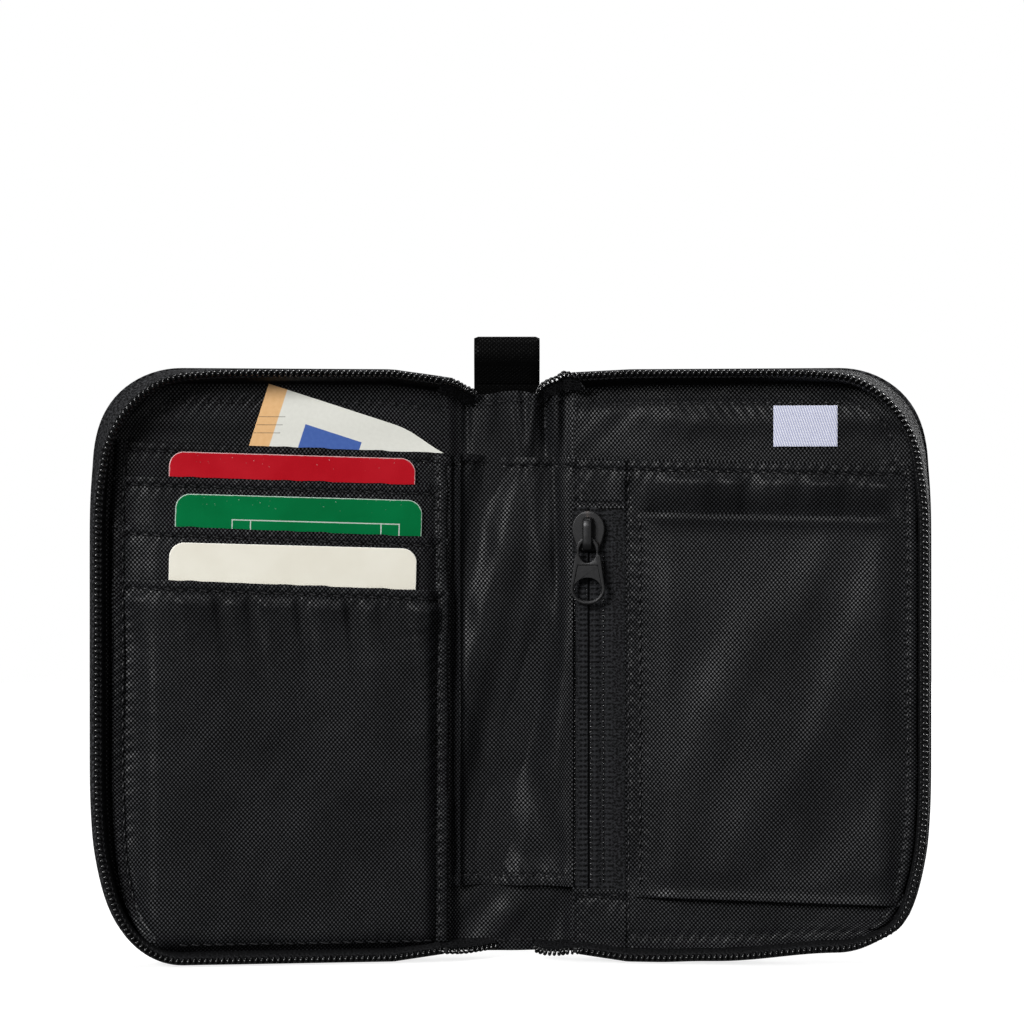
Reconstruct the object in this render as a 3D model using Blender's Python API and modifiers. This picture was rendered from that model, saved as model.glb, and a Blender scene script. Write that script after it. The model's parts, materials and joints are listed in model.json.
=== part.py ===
"""Zip-around pouch, standing open like a book.

Two padded covers fold on a narrow spine. Each cover is a shallow tray: an outer shell, foam and
lining, a side wall round its three free edges, and half of the main zipper on the wall's rim.
The front cover holds three stepped card slots over a slip pocket. The back cover holds a zipped
pocket, a gusseted pocket on its face and a slip pocket behind it. The main slider is parked on
the zipper's tail, which hangs down the outside of the spine under a webbing loop.

Sizes below are millimetres; the model is in metres, +Z up, seen from -Y. In a cover, u runs
outward from its fold, z runs up, and depth runs inward from its outer face.
"""

import math

import bmesh
import bpy

MM = 0.001

# Whole object
SPINE_WIDTH = 24.0
COVER_WIDTH = 80.8
COVER_HEIGHT = 130.0
UPPER_CORNER = 20.0
LOWER_CORNER = (20.0, 28.0)
OPEN_ANGLE = 8.0
CORNER_STEPS = 8
FOLD_DIP = 2.0
FOLD_DIP_RUN = 15.0

# Depths of a cover's layers, from its outer face inward
SHELL = (0.0, 0.7)
FOAM = (0.95, 2.35)
LINING = (2.6, 2.95)
SIDE_WALL = (1.0, 9.6)
MAIN_TAPE = (5.6, 11.2)
MAIN_COIL = (9.9, 11.85)

# Insets of a cover's layers from its outline, and where they start at the fold
WALL_INSET = (0.0, 0.9)
COIL_INSET = (0.1, 1.3)
TAPE_INSET = (1.6, 2.1)
FOAM_INSET = 1.4
LINING_INSET = 2.2
SHELL_START = 1.1
FOAM_START = 2.2
POCKET_START = 2.6
RIM_START = 4.6

# Front cover: slip pocket and stepped card slots, each (depth, base, top at fold, top at edge)
BLOCK_END = 76.1
BLOCK_CORNER = (15.0, 23.0)
SLIP_POCKET = ((3.65, 4.0), 4.0, 111.5, 114.2)
CARD_SLOTS = {
    "card_slot_back": ((5.26, 5.6), 24.0, 104.3, 106.7),
    "card_slot_middle": ((6.86, 7.2), 15.0, 92.9, 96.0),
    "card_slot_front": ((8.46, 8.8), 4.0, 81.2, 84.3),
}
BLOCK_BINDING = (9.05, 9.45)
BINDING_WIDTH = 2.8

# Cards and paper kept in the front cover: cards are (depth, middle, top)
CARD_SIZE = (54.0, 85.6)
CARD_CORNER = 3.2
CARD_TILT = 1.6
CARDS = {
    "upper_card": ((4.25, 5.01), 36.6, 111.0),
    "middle_card": ((5.85, 6.61), 35.3, 101.8),
    "lower_card": ((7.45, 8.21), 36.7, 91.2),
}
PAPER_SIZE = (37.5, 70.0)
PAPER_DEPTH = (3.2, 3.4)
PAPER_CORNER_AT = (41.9, 126.6)
PAPER_TILT = 17.7

# Back cover: zipped pocket, gusseted pocket and label
ZIP_FACE_END = 77.6
ZIP_FACE_CORNER = (16.0, 25.0)
ZIP_BACK = (3.25, 3.6)
ZIP_FACE = (6.2, 6.5)
ZIP_FACE_TOP = (110.2, 108.5)
ZIP_FACE_BASE = 4.0
ZIP_CENTRE = 6.2
ZIP_GAP = 0.55
ZIP_ROW = (0.5, 1.7)
ZIP_ROW_DEPTH = (5.0, 5.9)
ZIP_TAPE_END = 13.9
ZIP_SPAN = (16.1, 99.0)
PANEL_GAP = 0.3
GUSSET_POCKET = (17.0, 74.8, 14.0, 98.5, 97.3)
GUSSET_DEPTH = (6.8, 8.7)
GUSSET_FACE = (9.0, 9.4)
GUSSET_WALL = 0.8
GUSSET_CORNER = (4.0, 4.0)
EDGE_BINDING = (75.3, 78.0, 24.0, 108.0)
EDGE_BINDING_DEPTH = (6.85, 7.25)
LABEL = (46.5, 60.5, 112.8, 121.8)
LABEL_DEPTH = (3.2, 3.45)

# Spine, seen across its middle: (half width, low, high, depth)
SPINE_SHELL = (11.4, 3.5, 126.3, (0.0, 0.6))
SPINE_STIFFENER = (9.0, 8.0, 116.0, (0.85, 1.2))
SPINE_LINING = (9.2, 3.8, 126.0, (1.45, 1.7))
BRIDGE_PANEL = (9.2, 17.6, 110.6, (1.95, 2.2))

# Webbing loop over the top of the spine
LOOP_CENTRE_X = -0.8
LOOP_WIDTH = 14.5
LOOP_DEPTH = (-2.5, 4.3)
LOOP_FOOT = 127.0
LOOP_HEIGHT = 9.8
LOOP_WEBBING = 1.2
LOOP_SEWN = (116.6, 126.0, (0.8, 1.2))

# Zipper tail down the outside of the spine; distances are outward from the spine's face
TAIL_TAPE = (1.5, 1.9)
TAIL_TAPE_EDGES = (0.6, 10.4)
TAIL_ROW = (2.2, 3.3)
TAIL_ROW_EDGES = (0.6, 2.75)
TAIL_TOP = 124.0
TAIL_STOP = (84.4, 86.0)
TAIL_TAB = (76.0, 84.0, 1.1, 2.9)
SLIDER_STANDOFF = 0.4

# Sliders: shared depths from the back of the slider outward, then each one's plan sizes
BACK_PLATE = (0.0, 0.8)
FRONT_PLATE = (3.2, 4.1)
CROWN = (4.4, 6.5)
CROWN_BEAM = 0.65
CROWN_TOP = 7.0
PULL = (4.4, 5.5)
PULL_PIVOT = 2.6
PIVOT_BAR = 1.0
LOCK_SPRING = (4.4, 4.9)
INNER_SLIDER = {"width": 7.2, "length": 9.0, "divider": 0.5, "pull_width": 8.0, "pull_length": 14.8}
MAIN_SLIDER = {"width": 8.8, "length": 10.6, "divider": 0.6, "pull_width": 9.2, "pull_length": 16.8}
INNER_SLIDER_FOOT = 89.9
MAIN_SLIDER_FOOT = 86.4

# The middle of the object's depth is the origin
FOLD_SINE = math.sin(math.radians(OPEN_ANGLE))
FOLD_COSINE = math.cos(math.radians(OPEN_ANGLE))
FRONT_REACH = (COVER_WIDTH - COIL_INSET[0]) * FOLD_SINE + MAIN_COIL[1] * FOLD_COSINE
BACK_REACH = SLIDER_STANDOFF + CROWN[1]
SPINE_FACE_Y = (FRONT_REACH - BACK_REACH) / 2

FINISHES = {
    "outer_fabric": ((0.017, 0.017, 0.018), 0.85, 0.0),
    "lining_fabric": ((0.013, 0.013, 0.014), 0.8, 0.0),
    "foam": ((0.05, 0.05, 0.05), 0.95, 0.0),
    "stiffener": ((0.03, 0.03, 0.03), 0.6, 0.0),
    "webbing": ((0.004, 0.004, 0.004), 0.9, 0.0),
    "zip_tape": ((0.011, 0.011, 0.012), 0.85, 0.0),
    "zip_coil": ((0.012, 0.012, 0.013), 0.4, 0.0),
    "painted_zinc": ((0.028, 0.028, 0.03), 0.5, 1.0),
    "spring_steel": ((0.35, 0.35, 0.36), 0.35, 1.0),
    "woven_label": ((0.6, 0.62, 0.68), 0.8, 0.0),
    "red_card": ((0.4, 0.008, 0.016), 0.4, 0.0),
    "green_card": ((0.001, 0.133, 0.041), 0.4, 0.0),
    "cream_card": ((0.73, 0.71, 0.62), 0.45, 0.0),
    "paper": ((0.72, 0.72, 0.66), 0.9, 0.0),
}


def clear_scene():
    for existing in list(bpy.data.objects):
        bpy.data.objects.remove(existing, do_unlink=True)


def make_collection(name):
    collection = bpy.data.collections.new(name)
    bpy.context.scene.collection.children.link(collection)
    return collection


def make_finish(name):
    colour, roughness, metallic = FINISHES[name]
    finish = bpy.data.materials.new(name)
    finish.use_nodes = True
    shader = finish.node_tree.nodes["Principled BSDF"]
    shader.inputs["Base Color"].default_value = (*colour, 1.0)
    shader.inputs["Roughness"].default_value = roughness
    shader.inputs["Metallic"].default_value = metallic
    return finish


def make_empty(name, location, turn=0.0, parent=None):
    """An empty that carries pieces; turn is in degrees about Z."""
    empty = bpy.data.objects.new(name, None)
    empty.empty_display_size = 0.01
    empty.location = [value * MM for value in location]
    empty.rotation_euler = (0.0, 0.0, math.radians(turn))
    empty.parent = parent
    PARTS.objects.link(empty)
    return empty


def arc(centre, radii, start, end, steps=CORNER_STEPS):
    """Points along an ellipse's arc, with angles in degrees from +u towards +z."""
    points = []
    for step in range(steps + 1):
        angle = math.radians(start + (end - start) * step / steps)
        points.append((centre[0] + radii[0] * math.cos(angle), centre[1] + radii[1] * math.sin(angle)))
    return points


def rectangle(low, high):
    return [low, (high[0], low[1]), high, (low[0], high[1])]


def rounded(low, high, corner, steps=4):
    """A rectangle with round corners."""
    near, far = (low[0] + corner, low[1] + corner), (high[0] - corner, high[1] - corner)
    radii = (corner, corner)
    return (arc(near, radii, 180, 270, steps) + arc((far[0], near[1]), radii, 270, 360, steps)
            + arc(far, radii, 0, 90, steps) + arc((near[0], far[1]), radii, 90, 180, steps))


def turned(points, pivot, degrees):
    """Points turned about a pivot in their plane."""
    angle = math.radians(degrees)
    result = []
    for u, z in points:
        du, dz = u - pivot[0], z - pivot[1]
        result.append((pivot[0] + du * math.cos(angle) - dz * math.sin(angle),
                       pivot[1] + du * math.sin(angle) + dz * math.cos(angle)))
    return result


def rim(inset, start):
    """A cover's edge from the foot of its fold, out round both corners and back to the fold."""
    middle = COVER_WIDTH - UPPER_CORNER
    dip = FOLD_DIP * (1 - start / FOLD_DIP_RUN)
    lower_centre = (COVER_WIDTH - LOWER_CORNER[0], LOWER_CORNER[1])
    lower_radii = (LOWER_CORNER[0] - inset, LOWER_CORNER[1] - inset)
    upper_radii = (UPPER_CORNER - inset, UPPER_CORNER - inset)
    return ([(start, inset + dip), (FOLD_DIP_RUN, inset)]
            + arc(lower_centre, lower_radii, -90, 0)
            + arc((middle, COVER_HEIGHT - UPPER_CORNER), upper_radii, 0, 90)
            + [(FOLD_DIP_RUN, COVER_HEIGHT - inset), (start, COVER_HEIGHT - inset - dip)])


def band(insets, start):
    """The outline of a strip that follows a cover's edge between two insets."""
    return rim(insets[0], start) + rim(insets[1], start)[::-1]


def pocket(start, end, base, top_at_start, top_at_end, corner):
    """A pocket panel: square at the fold, rounded at its outer foot, with a sloping top."""
    foot = arc((end - corner[0], base + corner[1]), corner, -90, 0)
    return [(start, base)] + foot + [(end, top_at_end), (start, top_at_start)]


def mirrored(points, side):
    """Cover points as the parent empty's X and Z; side is -1 on the front cover."""
    return [(side * u, z) for u, z in points]


def extrude(name, outlines, span, finish, parent, across="depth"):
    """A flat outline, with any holes after it, made solid between two distances.

    across="depth" reads points as (x, z) and spans inward along -Y; across="x" reads points
    as (depth, z) and spans along X.
    """
    curve = bpy.data.curves.new(name, "CURVE")
    curve.dimensions = "2D"
    curve.fill_mode = "BOTH"
    curve.extrude = (span[1] - span[0]) / 2 * MM
    for outline in outlines:
        spline = curve.splines.new("POLY")
        spline.points.add(len(outline) - 1)
        spline.use_cyclic_u = True
        for point, (first, second) in zip(spline.points, outline):
            point.co = (first * MM, second * MM, 0.0, 1.0)
    piece = bpy.data.objects.new(name, curve)
    middle = (span[0] + span[1]) / 2 * MM
    if across == "depth":
        piece.rotation_euler = (math.pi / 2, 0.0, 0.0)
        piece.location = (0.0, -middle, 0.0)
    else:
        piece.rotation_euler = (math.pi / 2, 0.0, -math.pi / 2)
        piece.location = (middle, 0.0, 0.0)
    piece.parent = parent
    piece.data.materials.append(finish)
    PARTS.objects.link(piece)
    return piece


def soften(piece, width):
    """Break a hard piece's edges; the outline's caps are welded on first."""
    weld = piece.modifiers.new("weld", "WELD")
    weld.merge_threshold = 0.00001
    bevel = piece.modifiers.new("edges", "BEVEL")
    bevel.width = width * MM
    bevel.segments = 2
    bevel.limit_method = "ANGLE"
    bevel.angle_limit = math.radians(50)


def make_mesh(piece):
    """Turn an outline's object into a welded mesh object of the same name, for a Boolean."""
    name, finish, parent = piece.name, piece.data.materials[0], piece.parent
    bpy.context.view_layer.update()
    evaluated = piece.evaluated_get(bpy.context.evaluated_depsgraph_get())
    mesh = bpy.data.meshes.new_from_object(evaluated)
    solid = bmesh.new()
    solid.from_mesh(mesh)
    bmesh.ops.remove_doubles(solid, verts=solid.verts, dist=0.000001)
    bmesh.ops.recalc_face_normals(solid, faces=solid.faces)
    solid.to_mesh(mesh)
    solid.free()
    location, rotation = piece.location.copy(), piece.rotation_euler.copy()
    bpy.data.objects.remove(piece, do_unlink=True)
    result = bpy.data.objects.new(name, mesh)
    result.location, result.rotation_euler, result.parent = location, rotation, parent
    if not mesh.materials:
        mesh.materials.append(finish)
    PARTS.objects.link(result)
    return result


def join_solid(base, other):
    """Union another solid into base with a Boolean, keeping the other as a hidden guide."""
    PARTS.objects.unlink(other)
    CUTTERS.objects.link(other)
    other.hide_render = True
    other.display_type = "WIRE"
    union = base.modifiers.new("join " + other.name, "BOOLEAN")
    union.operation = "UNION"
    union.solver = "EXACT"
    union.object = other


def build_cover(prefix, side, empty):
    """The tray that both covers share."""
    def layer(name, outline, span, finish):
        return extrude(prefix + name, [mirrored(outline, side)], span, finish, empty)

    layer("_shell", rim(0.0, SHELL_START), SHELL, OUTER_FABRIC)
    layer("_foam", rim(FOAM_INSET, FOAM_START), FOAM, FOAM_FINISH)
    layer("_lining", rim(LINING_INSET, POCKET_START), LINING, LINING_FABRIC)
    layer("_side_wall", band(WALL_INSET, RIM_START), SIDE_WALL, OUTER_FABRIC)
    layer("_main_tape", band(TAPE_INSET, RIM_START), MAIN_TAPE, ZIP_TAPE)
    layer("_main_coil", band(COIL_INSET, RIM_START), MAIN_COIL, ZIP_COIL)
    stop_low = 2.2
    stop = rectangle((RIM_START - 1.3, stop_low), (RIM_START - PANEL_GAP, stop_low + 1.2))
    soften(layer("_end_stop", stop, (MAIN_COIL[0], MAIN_COIL[1] - 0.2), PAINTED_ZINC), 0.2)


def build_front_pockets(empty):
    """Slip pocket, three card slots and the two bindings on the block's sides."""
    def panel(name, start, end, values, corner):
        span, base, top_at_start, top_at_end = values
        outline = pocket(start, end, base, top_at_start, top_at_end, corner)
        extrude(name, [mirrored(outline, -1)], span, LINING_FABRIC, empty)

    panel("front_slip_panel", POCKET_START, BLOCK_END, SLIP_POCKET, BLOCK_CORNER)
    for name, values in CARD_SLOTS.items():
        panel(name, POCKET_START, BLOCK_END, values, BLOCK_CORNER)
    foot = CARD_SLOTS["card_slot_front"][1]
    inner = rectangle((POCKET_START, foot), (POCKET_START + BINDING_WIDTH, SLIP_POCKET[2]))
    outer = rectangle((BLOCK_END - BINDING_WIDTH, foot + BLOCK_CORNER[1]), (BLOCK_END, SLIP_POCKET[3]))
    extrude("front_inner_binding", [mirrored(inner, -1)], BLOCK_BINDING, LINING_FABRIC, empty)
    extrude("front_outer_binding", [mirrored(outer, -1)], BLOCK_BINDING, LINING_FABRIC, empty)


def build_contents(empty):
    """Blank cards in the slots and a paper slip in the slip pocket."""
    width, height = CARD_SIZE
    finishes = {"upper_card": RED_CARD, "middle_card": GREEN_CARD, "lower_card": CREAM_CARD}
    for name, (span, middle, top) in CARDS.items():
        flat = rounded((middle - width / 2, top - height), (middle + width / 2, top), CARD_CORNER)
        outline = turned(flat, (middle, top), CARD_TILT)
        extrude(name, [mirrored(outline, -1)], span, finishes[name], empty)
    left, top = PAPER_CORNER_AT
    sheet = rectangle((left - PAPER_SIZE[0], top - PAPER_SIZE[1]), (left, top))
    outline = turned(sheet, PAPER_CORNER_AT, PAPER_TILT)
    extrude("paper_slip", [mirrored(outline, -1)], PAPER_DEPTH, PAPER, empty)


def build_back_pockets(empty):
    """Zipped pocket, gusseted pocket on its face, edge binding and label."""
    top_at_fold, top_at_edge = ZIP_FACE_TOP
    panel_start = ZIP_TAPE_END + PANEL_GAP
    slope = (top_at_edge - top_at_fold) / (ZIP_FACE_END - POCKET_START)
    panel_top = top_at_fold + slope * (panel_start - POCKET_START)
    back = pocket(POCKET_START, ZIP_FACE_END, ZIP_FACE_BASE, top_at_fold, top_at_edge, ZIP_FACE_CORNER)
    face = pocket(panel_start, ZIP_FACE_END, ZIP_FACE_BASE, panel_top, top_at_edge, ZIP_FACE_CORNER)
    extrude("back_slip_panel", [back], ZIP_BACK, LINING_FABRIC, empty)
    extrude("zip_pocket_panel", [face], ZIP_FACE, LINING_FABRIC, empty)

    low, high = ZIP_SPAN
    flats = {
        "zip_top_tab": ((POCKET_START, high + PANEL_GAP), (ZIP_TAPE_END, panel_top), LINING_FABRIC),
        "zip_bottom_tab": ((POCKET_START, ZIP_FACE_BASE), (ZIP_TAPE_END, low - PANEL_GAP), LINING_FABRIC),
        "inner_tape_fold_side": ((POCKET_START, low), (ZIP_CENTRE - ZIP_GAP, high), ZIP_TAPE),
        "inner_tape_edge_side": ((ZIP_CENTRE + ZIP_GAP, low), (ZIP_TAPE_END, high), ZIP_TAPE),
    }
    for name, (near, far, finish) in flats.items():
        extrude(name, [rectangle(near, far)], ZIP_FACE, finish, empty)

    row_low, row_high = low + 1.7, high - 2.0
    for name, sign in (("fold_side", -1), ("edge_side", 1)):
        edges = sorted(ZIP_CENTRE + sign * edge for edge in ZIP_ROW)
        row = rectangle((edges[0], row_low), (edges[1], row_high))
        extrude("inner_coil_" + name, [row], ZIP_ROW_DEPTH, ZIP_COIL, empty)
        stop = rectangle((edges[0] + 0.1, row_high + PANEL_GAP), (edges[1] - 0.1, high - 0.4))
        soften(extrude("inner_top_stop_" + name, [stop], ZIP_ROW_DEPTH, PAINTED_ZINC, empty), 0.15)
    stop = rectangle((ZIP_CENTRE - ZIP_ROW[1], low + 0.1), (ZIP_CENTRE + ZIP_ROW[1], row_low - PANEL_GAP))
    soften(extrude("inner_bottom_stop", [stop], ZIP_ROW_DEPTH, PAINTED_ZINC, empty), 0.2)

    start, end, base, top_at_start, top_at_end = GUSSET_POCKET
    outer = pocket(start, end, base, top_at_start, top_at_end, GUSSET_CORNER)
    inner_corner = (GUSSET_CORNER[0] - GUSSET_WALL, GUSSET_CORNER[1] - GUSSET_WALL)
    inner = pocket(start + GUSSET_WALL, end - GUSSET_WALL, base + GUSSET_WALL,
                   top_at_start, top_at_end, inner_corner)
    extrude("gusset_pocket_face", [outer], GUSSET_FACE, LINING_FABRIC, empty)
    gusset = [outer[-1]] + outer[:-1] + inner[:-1][::-1] + [inner[-1]]
    extrude("gusset_pocket_wall", [gusset], GUSSET_DEPTH, LINING_FABRIC, empty)

    left, right, low, high = EDGE_BINDING
    extrude("back_outer_binding", [rectangle((left, low), (right, high))], EDGE_BINDING_DEPTH,
            LINING_FABRIC, empty)
    left, right, low, high = LABEL
    extrude("woven_label", [rounded((left, low), (right, high), 1.0)], LABEL_DEPTH, WOVEN_LABEL, empty)


def build_spine(empty):
    layers = {
        "spine_shell": (SPINE_SHELL, OUTER_FABRIC),
        "spine_stiffener": (SPINE_STIFFENER, STIFFENER),
        "spine_lining": (SPINE_LINING, LINING_FABRIC),
        "bridge_panel": (BRIDGE_PANEL, LINING_FABRIC),
    }
    for name, ((half, low, high, span), finish) in layers.items():
        extrude(name, [rectangle((-half, low), (half, high))], span, finish, empty)
    low, high, span = LOOP_SEWN
    half = LOOP_WIDTH / 2
    sewn = rectangle((LOOP_CENTRE_X - half, low), (LOOP_CENTRE_X + half, high))
    extrude("loop_sewn_end", [sewn], span, WEBBING, empty)


def build_loop(empty):
    """The part of the webbing loop that stands above the spine; its empty is on its outer foot."""
    thickness = LOOP_DEPTH[1] - LOOP_DEPTH[0]
    outer_corner, inner_corner = thickness / 2 - 0.01, thickness / 2 - LOOP_WEBBING - 0.01
    outer = rounded((0.0, 0.0), (thickness, LOOP_HEIGHT), outer_corner, 6)
    inner = rounded((LOOP_WEBBING, LOOP_WEBBING),
                    (thickness - LOOP_WEBBING, LOOP_HEIGHT - LOOP_WEBBING), inner_corner, 6)
    extrude("hanging_loop", [outer, inner], (-LOOP_WIDTH / 2, LOOP_WIDTH / 2), WEBBING, empty, "x")


def build_tail(empty):
    """The main zipper's tail; this empty faces outward, so depth here runs away from the spine."""
    stop_low, stop_high = TAIL_STOP
    for name, sign in (("left", 1), ("right", -1)):
        edges = sorted(sign * edge for edge in TAIL_TAPE_EDGES)
        tape = rectangle((edges[0], stop_low), (edges[1], TAIL_TOP))
        extrude("tail_tape_" + name, [tape], TAIL_TAPE, ZIP_TAPE, empty)
        edges = sorted(sign * edge for edge in TAIL_ROW_EDGES)
        row = rectangle((edges[0], stop_high + PANEL_GAP), (edges[1], TAIL_TOP - 1.0))
        extrude("tail_coil_" + name, [row], TAIL_ROW, ZIP_COIL, empty)
    reach = TAIL_ROW_EDGES[1]
    stop = rectangle((-reach, stop_low), (reach, stop_high))
    soften(extrude("tail_bottom_stop", [stop], TAIL_ROW, PAINTED_ZINC, empty), 0.25)
    low, high, near, far = TAIL_TAB
    tab = rounded((-TAIL_TAPE_EDGES[1], low), (TAIL_TAPE_EDGES[1], high), 1.5)
    extrude("tail_end_tab", [tab], (near, far), OUTER_FABRIC, empty)


def build_slider(prefix, sizes, empty, pivot):
    """Slider, crown and lock spring on one empty, and the pull on the pivot's empty."""
    half, length = sizes["width"] / 2, sizes["length"]
    waist = half * 0.78
    plan = [(-waist, 0.0), (waist, 0.0), (half, length * 0.55), (half, length * 0.85),
            (half * 0.7, length), (-half * 0.7, length), (-half, length * 0.85), (-half, length * 0.55)]
    body = make_mesh(extrude(prefix + "_slider_body", [plan], BACK_PLATE, PAINTED_ZINC, empty))
    front = make_mesh(extrude(prefix + "_slider_front", [plan], FRONT_PLATE, PAINTED_ZINC, empty))
    bite = 0.2
    post_half = sizes["divider"] / 2
    post_plan = rectangle((-post_half, length * 0.68), (post_half, length * 0.95))
    post_span = (BACK_PLATE[1] - bite, FRONT_PLATE[0] + bite)
    post = make_mesh(extrude(prefix + "_slider_post", [post_plan], post_span, PAINTED_ZINC, empty))
    join_solid(body, post)
    join_solid(body, front)

    crown_half, near, far = 1.0, CROWN[0], CROWN[1]
    beam = far - CROWN_BEAM
    top, bottom = CROWN_TOP, 0.4
    arch = [(near, bottom), (far, bottom), (far, top), (near, top),
            (near, top - 1.1), (beam, top - 1.1), (beam, bottom + 0.9), (near, bottom + 0.9)]
    crown = extrude(prefix + "_slider_crown", [arch], (-crown_half, crown_half), PAINTED_ZINC, empty, "x")
    soften(crown, 0.15)
    spring_low, spring_high, leaf = PULL_PIVOT + 1.0, top - 1.4, 0.2
    spring = [(LOCK_SPRING[0], spring_low), (LOCK_SPRING[1], spring_low),
              (LOCK_SPRING[1], spring_low + leaf), (LOCK_SPRING[0] + leaf, spring_low + leaf),
              (LOCK_SPRING[0] + leaf, spring_high), (LOCK_SPRING[0], spring_high)]
    extrude(prefix + "_slider_lock_spring", [spring], (-0.6, 0.6), SPRING_STEEL, empty, "x")

    pull_half, arm, bar = sizes["pull_width"] / 2, sizes["pull_length"], PIVOT_BAR / 2
    ring_hole = rounded((-1.45, -bar - 4.7), (1.45, -bar), 0.5, 3)
    grip_top = -bar - 4.7 - 1.5
    grip_hole = rounded((-1.9, bar - arm + 1.6), (1.9, grip_top), 1.85)
    outline = rounded((-pull_half, bar - arm), (pull_half, bar), pull_half * 0.5, 6)
    span = (PULL[0] - (PULL[0] + PULL[1]) / 2, PULL[1] - (PULL[0] + PULL[1]) / 2)
    soften(extrude(prefix + "_pull_tab", [outline, ring_hole, grip_hole], span, PAINTED_ZINC, pivot), 0.2)


def build_pouch():
    origin = make_empty("pouch_origin", (0.0, SPINE_FACE_Y, 0.0))
    fold = SPINE_WIDTH / 2
    front = make_empty("front_fold", (-fold, 0.0, 0.0), OPEN_ANGLE, origin)
    back = make_empty("back_fold", (fold, 0.0, 0.0), -OPEN_ANGLE, origin)
    build_cover("front", -1, front)
    build_cover("back", 1, back)
    build_front_pockets(front)
    build_contents(front)
    build_back_pockets(back)
    build_spine(origin)
    build_loop(make_empty("loop_bend", (LOOP_CENTRE_X, -LOOP_DEPTH[0], LOOP_FOOT), 0.0, origin))
    outward = make_empty("tail_outward", (0.0, 0.0, 0.0), 180.0, origin)
    build_tail(outward)

    pivot_depth = (PULL[0] + PULL[1]) / 2
    main = make_empty("main_slider", (0.0, -SLIDER_STANDOFF, MAIN_SLIDER_FOOT), 0.0, outward)
    main_pivot = make_empty("main_pull_pivot", (0.0, -pivot_depth, PULL_PIVOT), 0.0, main)
    build_slider("main", MAIN_SLIDER, main, main_pivot)
    inner_back = ZIP_BACK[1] + PANEL_GAP
    inner = make_empty("inner_slider", (ZIP_CENTRE, -inner_back, INNER_SLIDER_FOOT), 0.0, back)
    inner_pivot = make_empty("inner_pull_pivot", (0.0, -pivot_depth, PULL_PIVOT), 0.0, inner)
    build_slider("inner", INNER_SLIDER, inner, inner_pivot)


clear_scene()
PARTS = make_collection("zip_around_pouch")
CUTTERS = make_collection("cutters")
OUTER_FABRIC = make_finish("outer_fabric")
LINING_FABRIC = make_finish("lining_fabric")
FOAM_FINISH = make_finish("foam")
STIFFENER = make_finish("stiffener")
WEBBING = make_finish("webbing")
ZIP_TAPE = make_finish("zip_tape")
ZIP_COIL = make_finish("zip_coil")
PAINTED_ZINC = make_finish("painted_zinc")
SPRING_STEEL = make_finish("spring_steel")
WOVEN_LABEL = make_finish("woven_label")
RED_CARD = make_finish("red_card")
GREEN_CARD = make_finish("green_card")
CREAM_CARD = make_finish("cream_card")
PAPER = make_finish("paper")
build_pouch()
bpy.context.view_layer.update()
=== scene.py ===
import json
import math

import bpy
import numpy as np
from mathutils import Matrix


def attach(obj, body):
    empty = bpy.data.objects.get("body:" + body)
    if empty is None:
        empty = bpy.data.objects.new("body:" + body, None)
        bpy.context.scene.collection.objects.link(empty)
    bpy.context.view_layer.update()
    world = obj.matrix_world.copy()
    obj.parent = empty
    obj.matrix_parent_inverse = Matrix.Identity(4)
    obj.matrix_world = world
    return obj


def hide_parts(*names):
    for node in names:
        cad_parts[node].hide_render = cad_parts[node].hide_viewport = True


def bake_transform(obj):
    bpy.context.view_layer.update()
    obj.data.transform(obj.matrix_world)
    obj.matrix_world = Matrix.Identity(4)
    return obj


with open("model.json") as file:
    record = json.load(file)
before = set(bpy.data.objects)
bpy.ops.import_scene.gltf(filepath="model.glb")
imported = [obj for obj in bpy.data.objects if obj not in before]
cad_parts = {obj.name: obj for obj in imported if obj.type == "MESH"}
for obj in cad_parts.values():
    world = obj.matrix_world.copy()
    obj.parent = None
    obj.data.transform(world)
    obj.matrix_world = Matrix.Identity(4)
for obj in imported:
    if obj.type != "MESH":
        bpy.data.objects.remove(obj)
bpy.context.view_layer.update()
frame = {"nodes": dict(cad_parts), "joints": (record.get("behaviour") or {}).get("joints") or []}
joints = {j["name"]: j for j in frame["joints"]}
foldX = abs(joints["front_cover_fold"]["pos_m"][0]) * 1000
faceY = joints["front_cover_fold"]["pos_m"][1] * 1000
openTilt = math.radians(-joints["front_cover_fold"]["range_deg"][0])
tiltSin, tiltCos = math.sin(openTilt), math.cos(openTilt)
cover = {"width": 80.8, "height": 130.0, "topCorner": 20.0, "footCorner": (20.0, 28.0), "dip": 2.0,
         "dipRun": 15.0, "waists": ((0.95, 20, 11), (0.8, 113, 9)), "footRise": (0.4, 2.4), "headLift": 1.3}


# places and small sums

def coverPoint(side, u, d, z):  # side is -1 on the front cover and 1 on the back cover
    u, d, z = np.broadcast_arrays(np.asarray(u, float), d, z)
    waist = sum(amount * hump(z, middle, reach) for amount, middle, reach in cover["waists"])
    u = u - waist * smoothStep(66, 79, u)  # the sides draw in beside the corners
    if side > 0:  # the back cover's foot rises towards its corner, and its head stays high at the fold
        near, far = cover["footRise"]
        z = z + (near * smoothStep(20, 34, u) + far * smoothStep(30, 66, u)) * (1 - smoothStep(0.5, 12, z))
        z = z + cover["headLift"] * np.clip(1 - u / 15, 0, 1.3) * smoothStep(112, 127, z)
    return np.stack([side * (foldX + u * tiltCos - d * tiltSin), faceY - u * tiltSin - d * tiltCos, z], -1)


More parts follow.
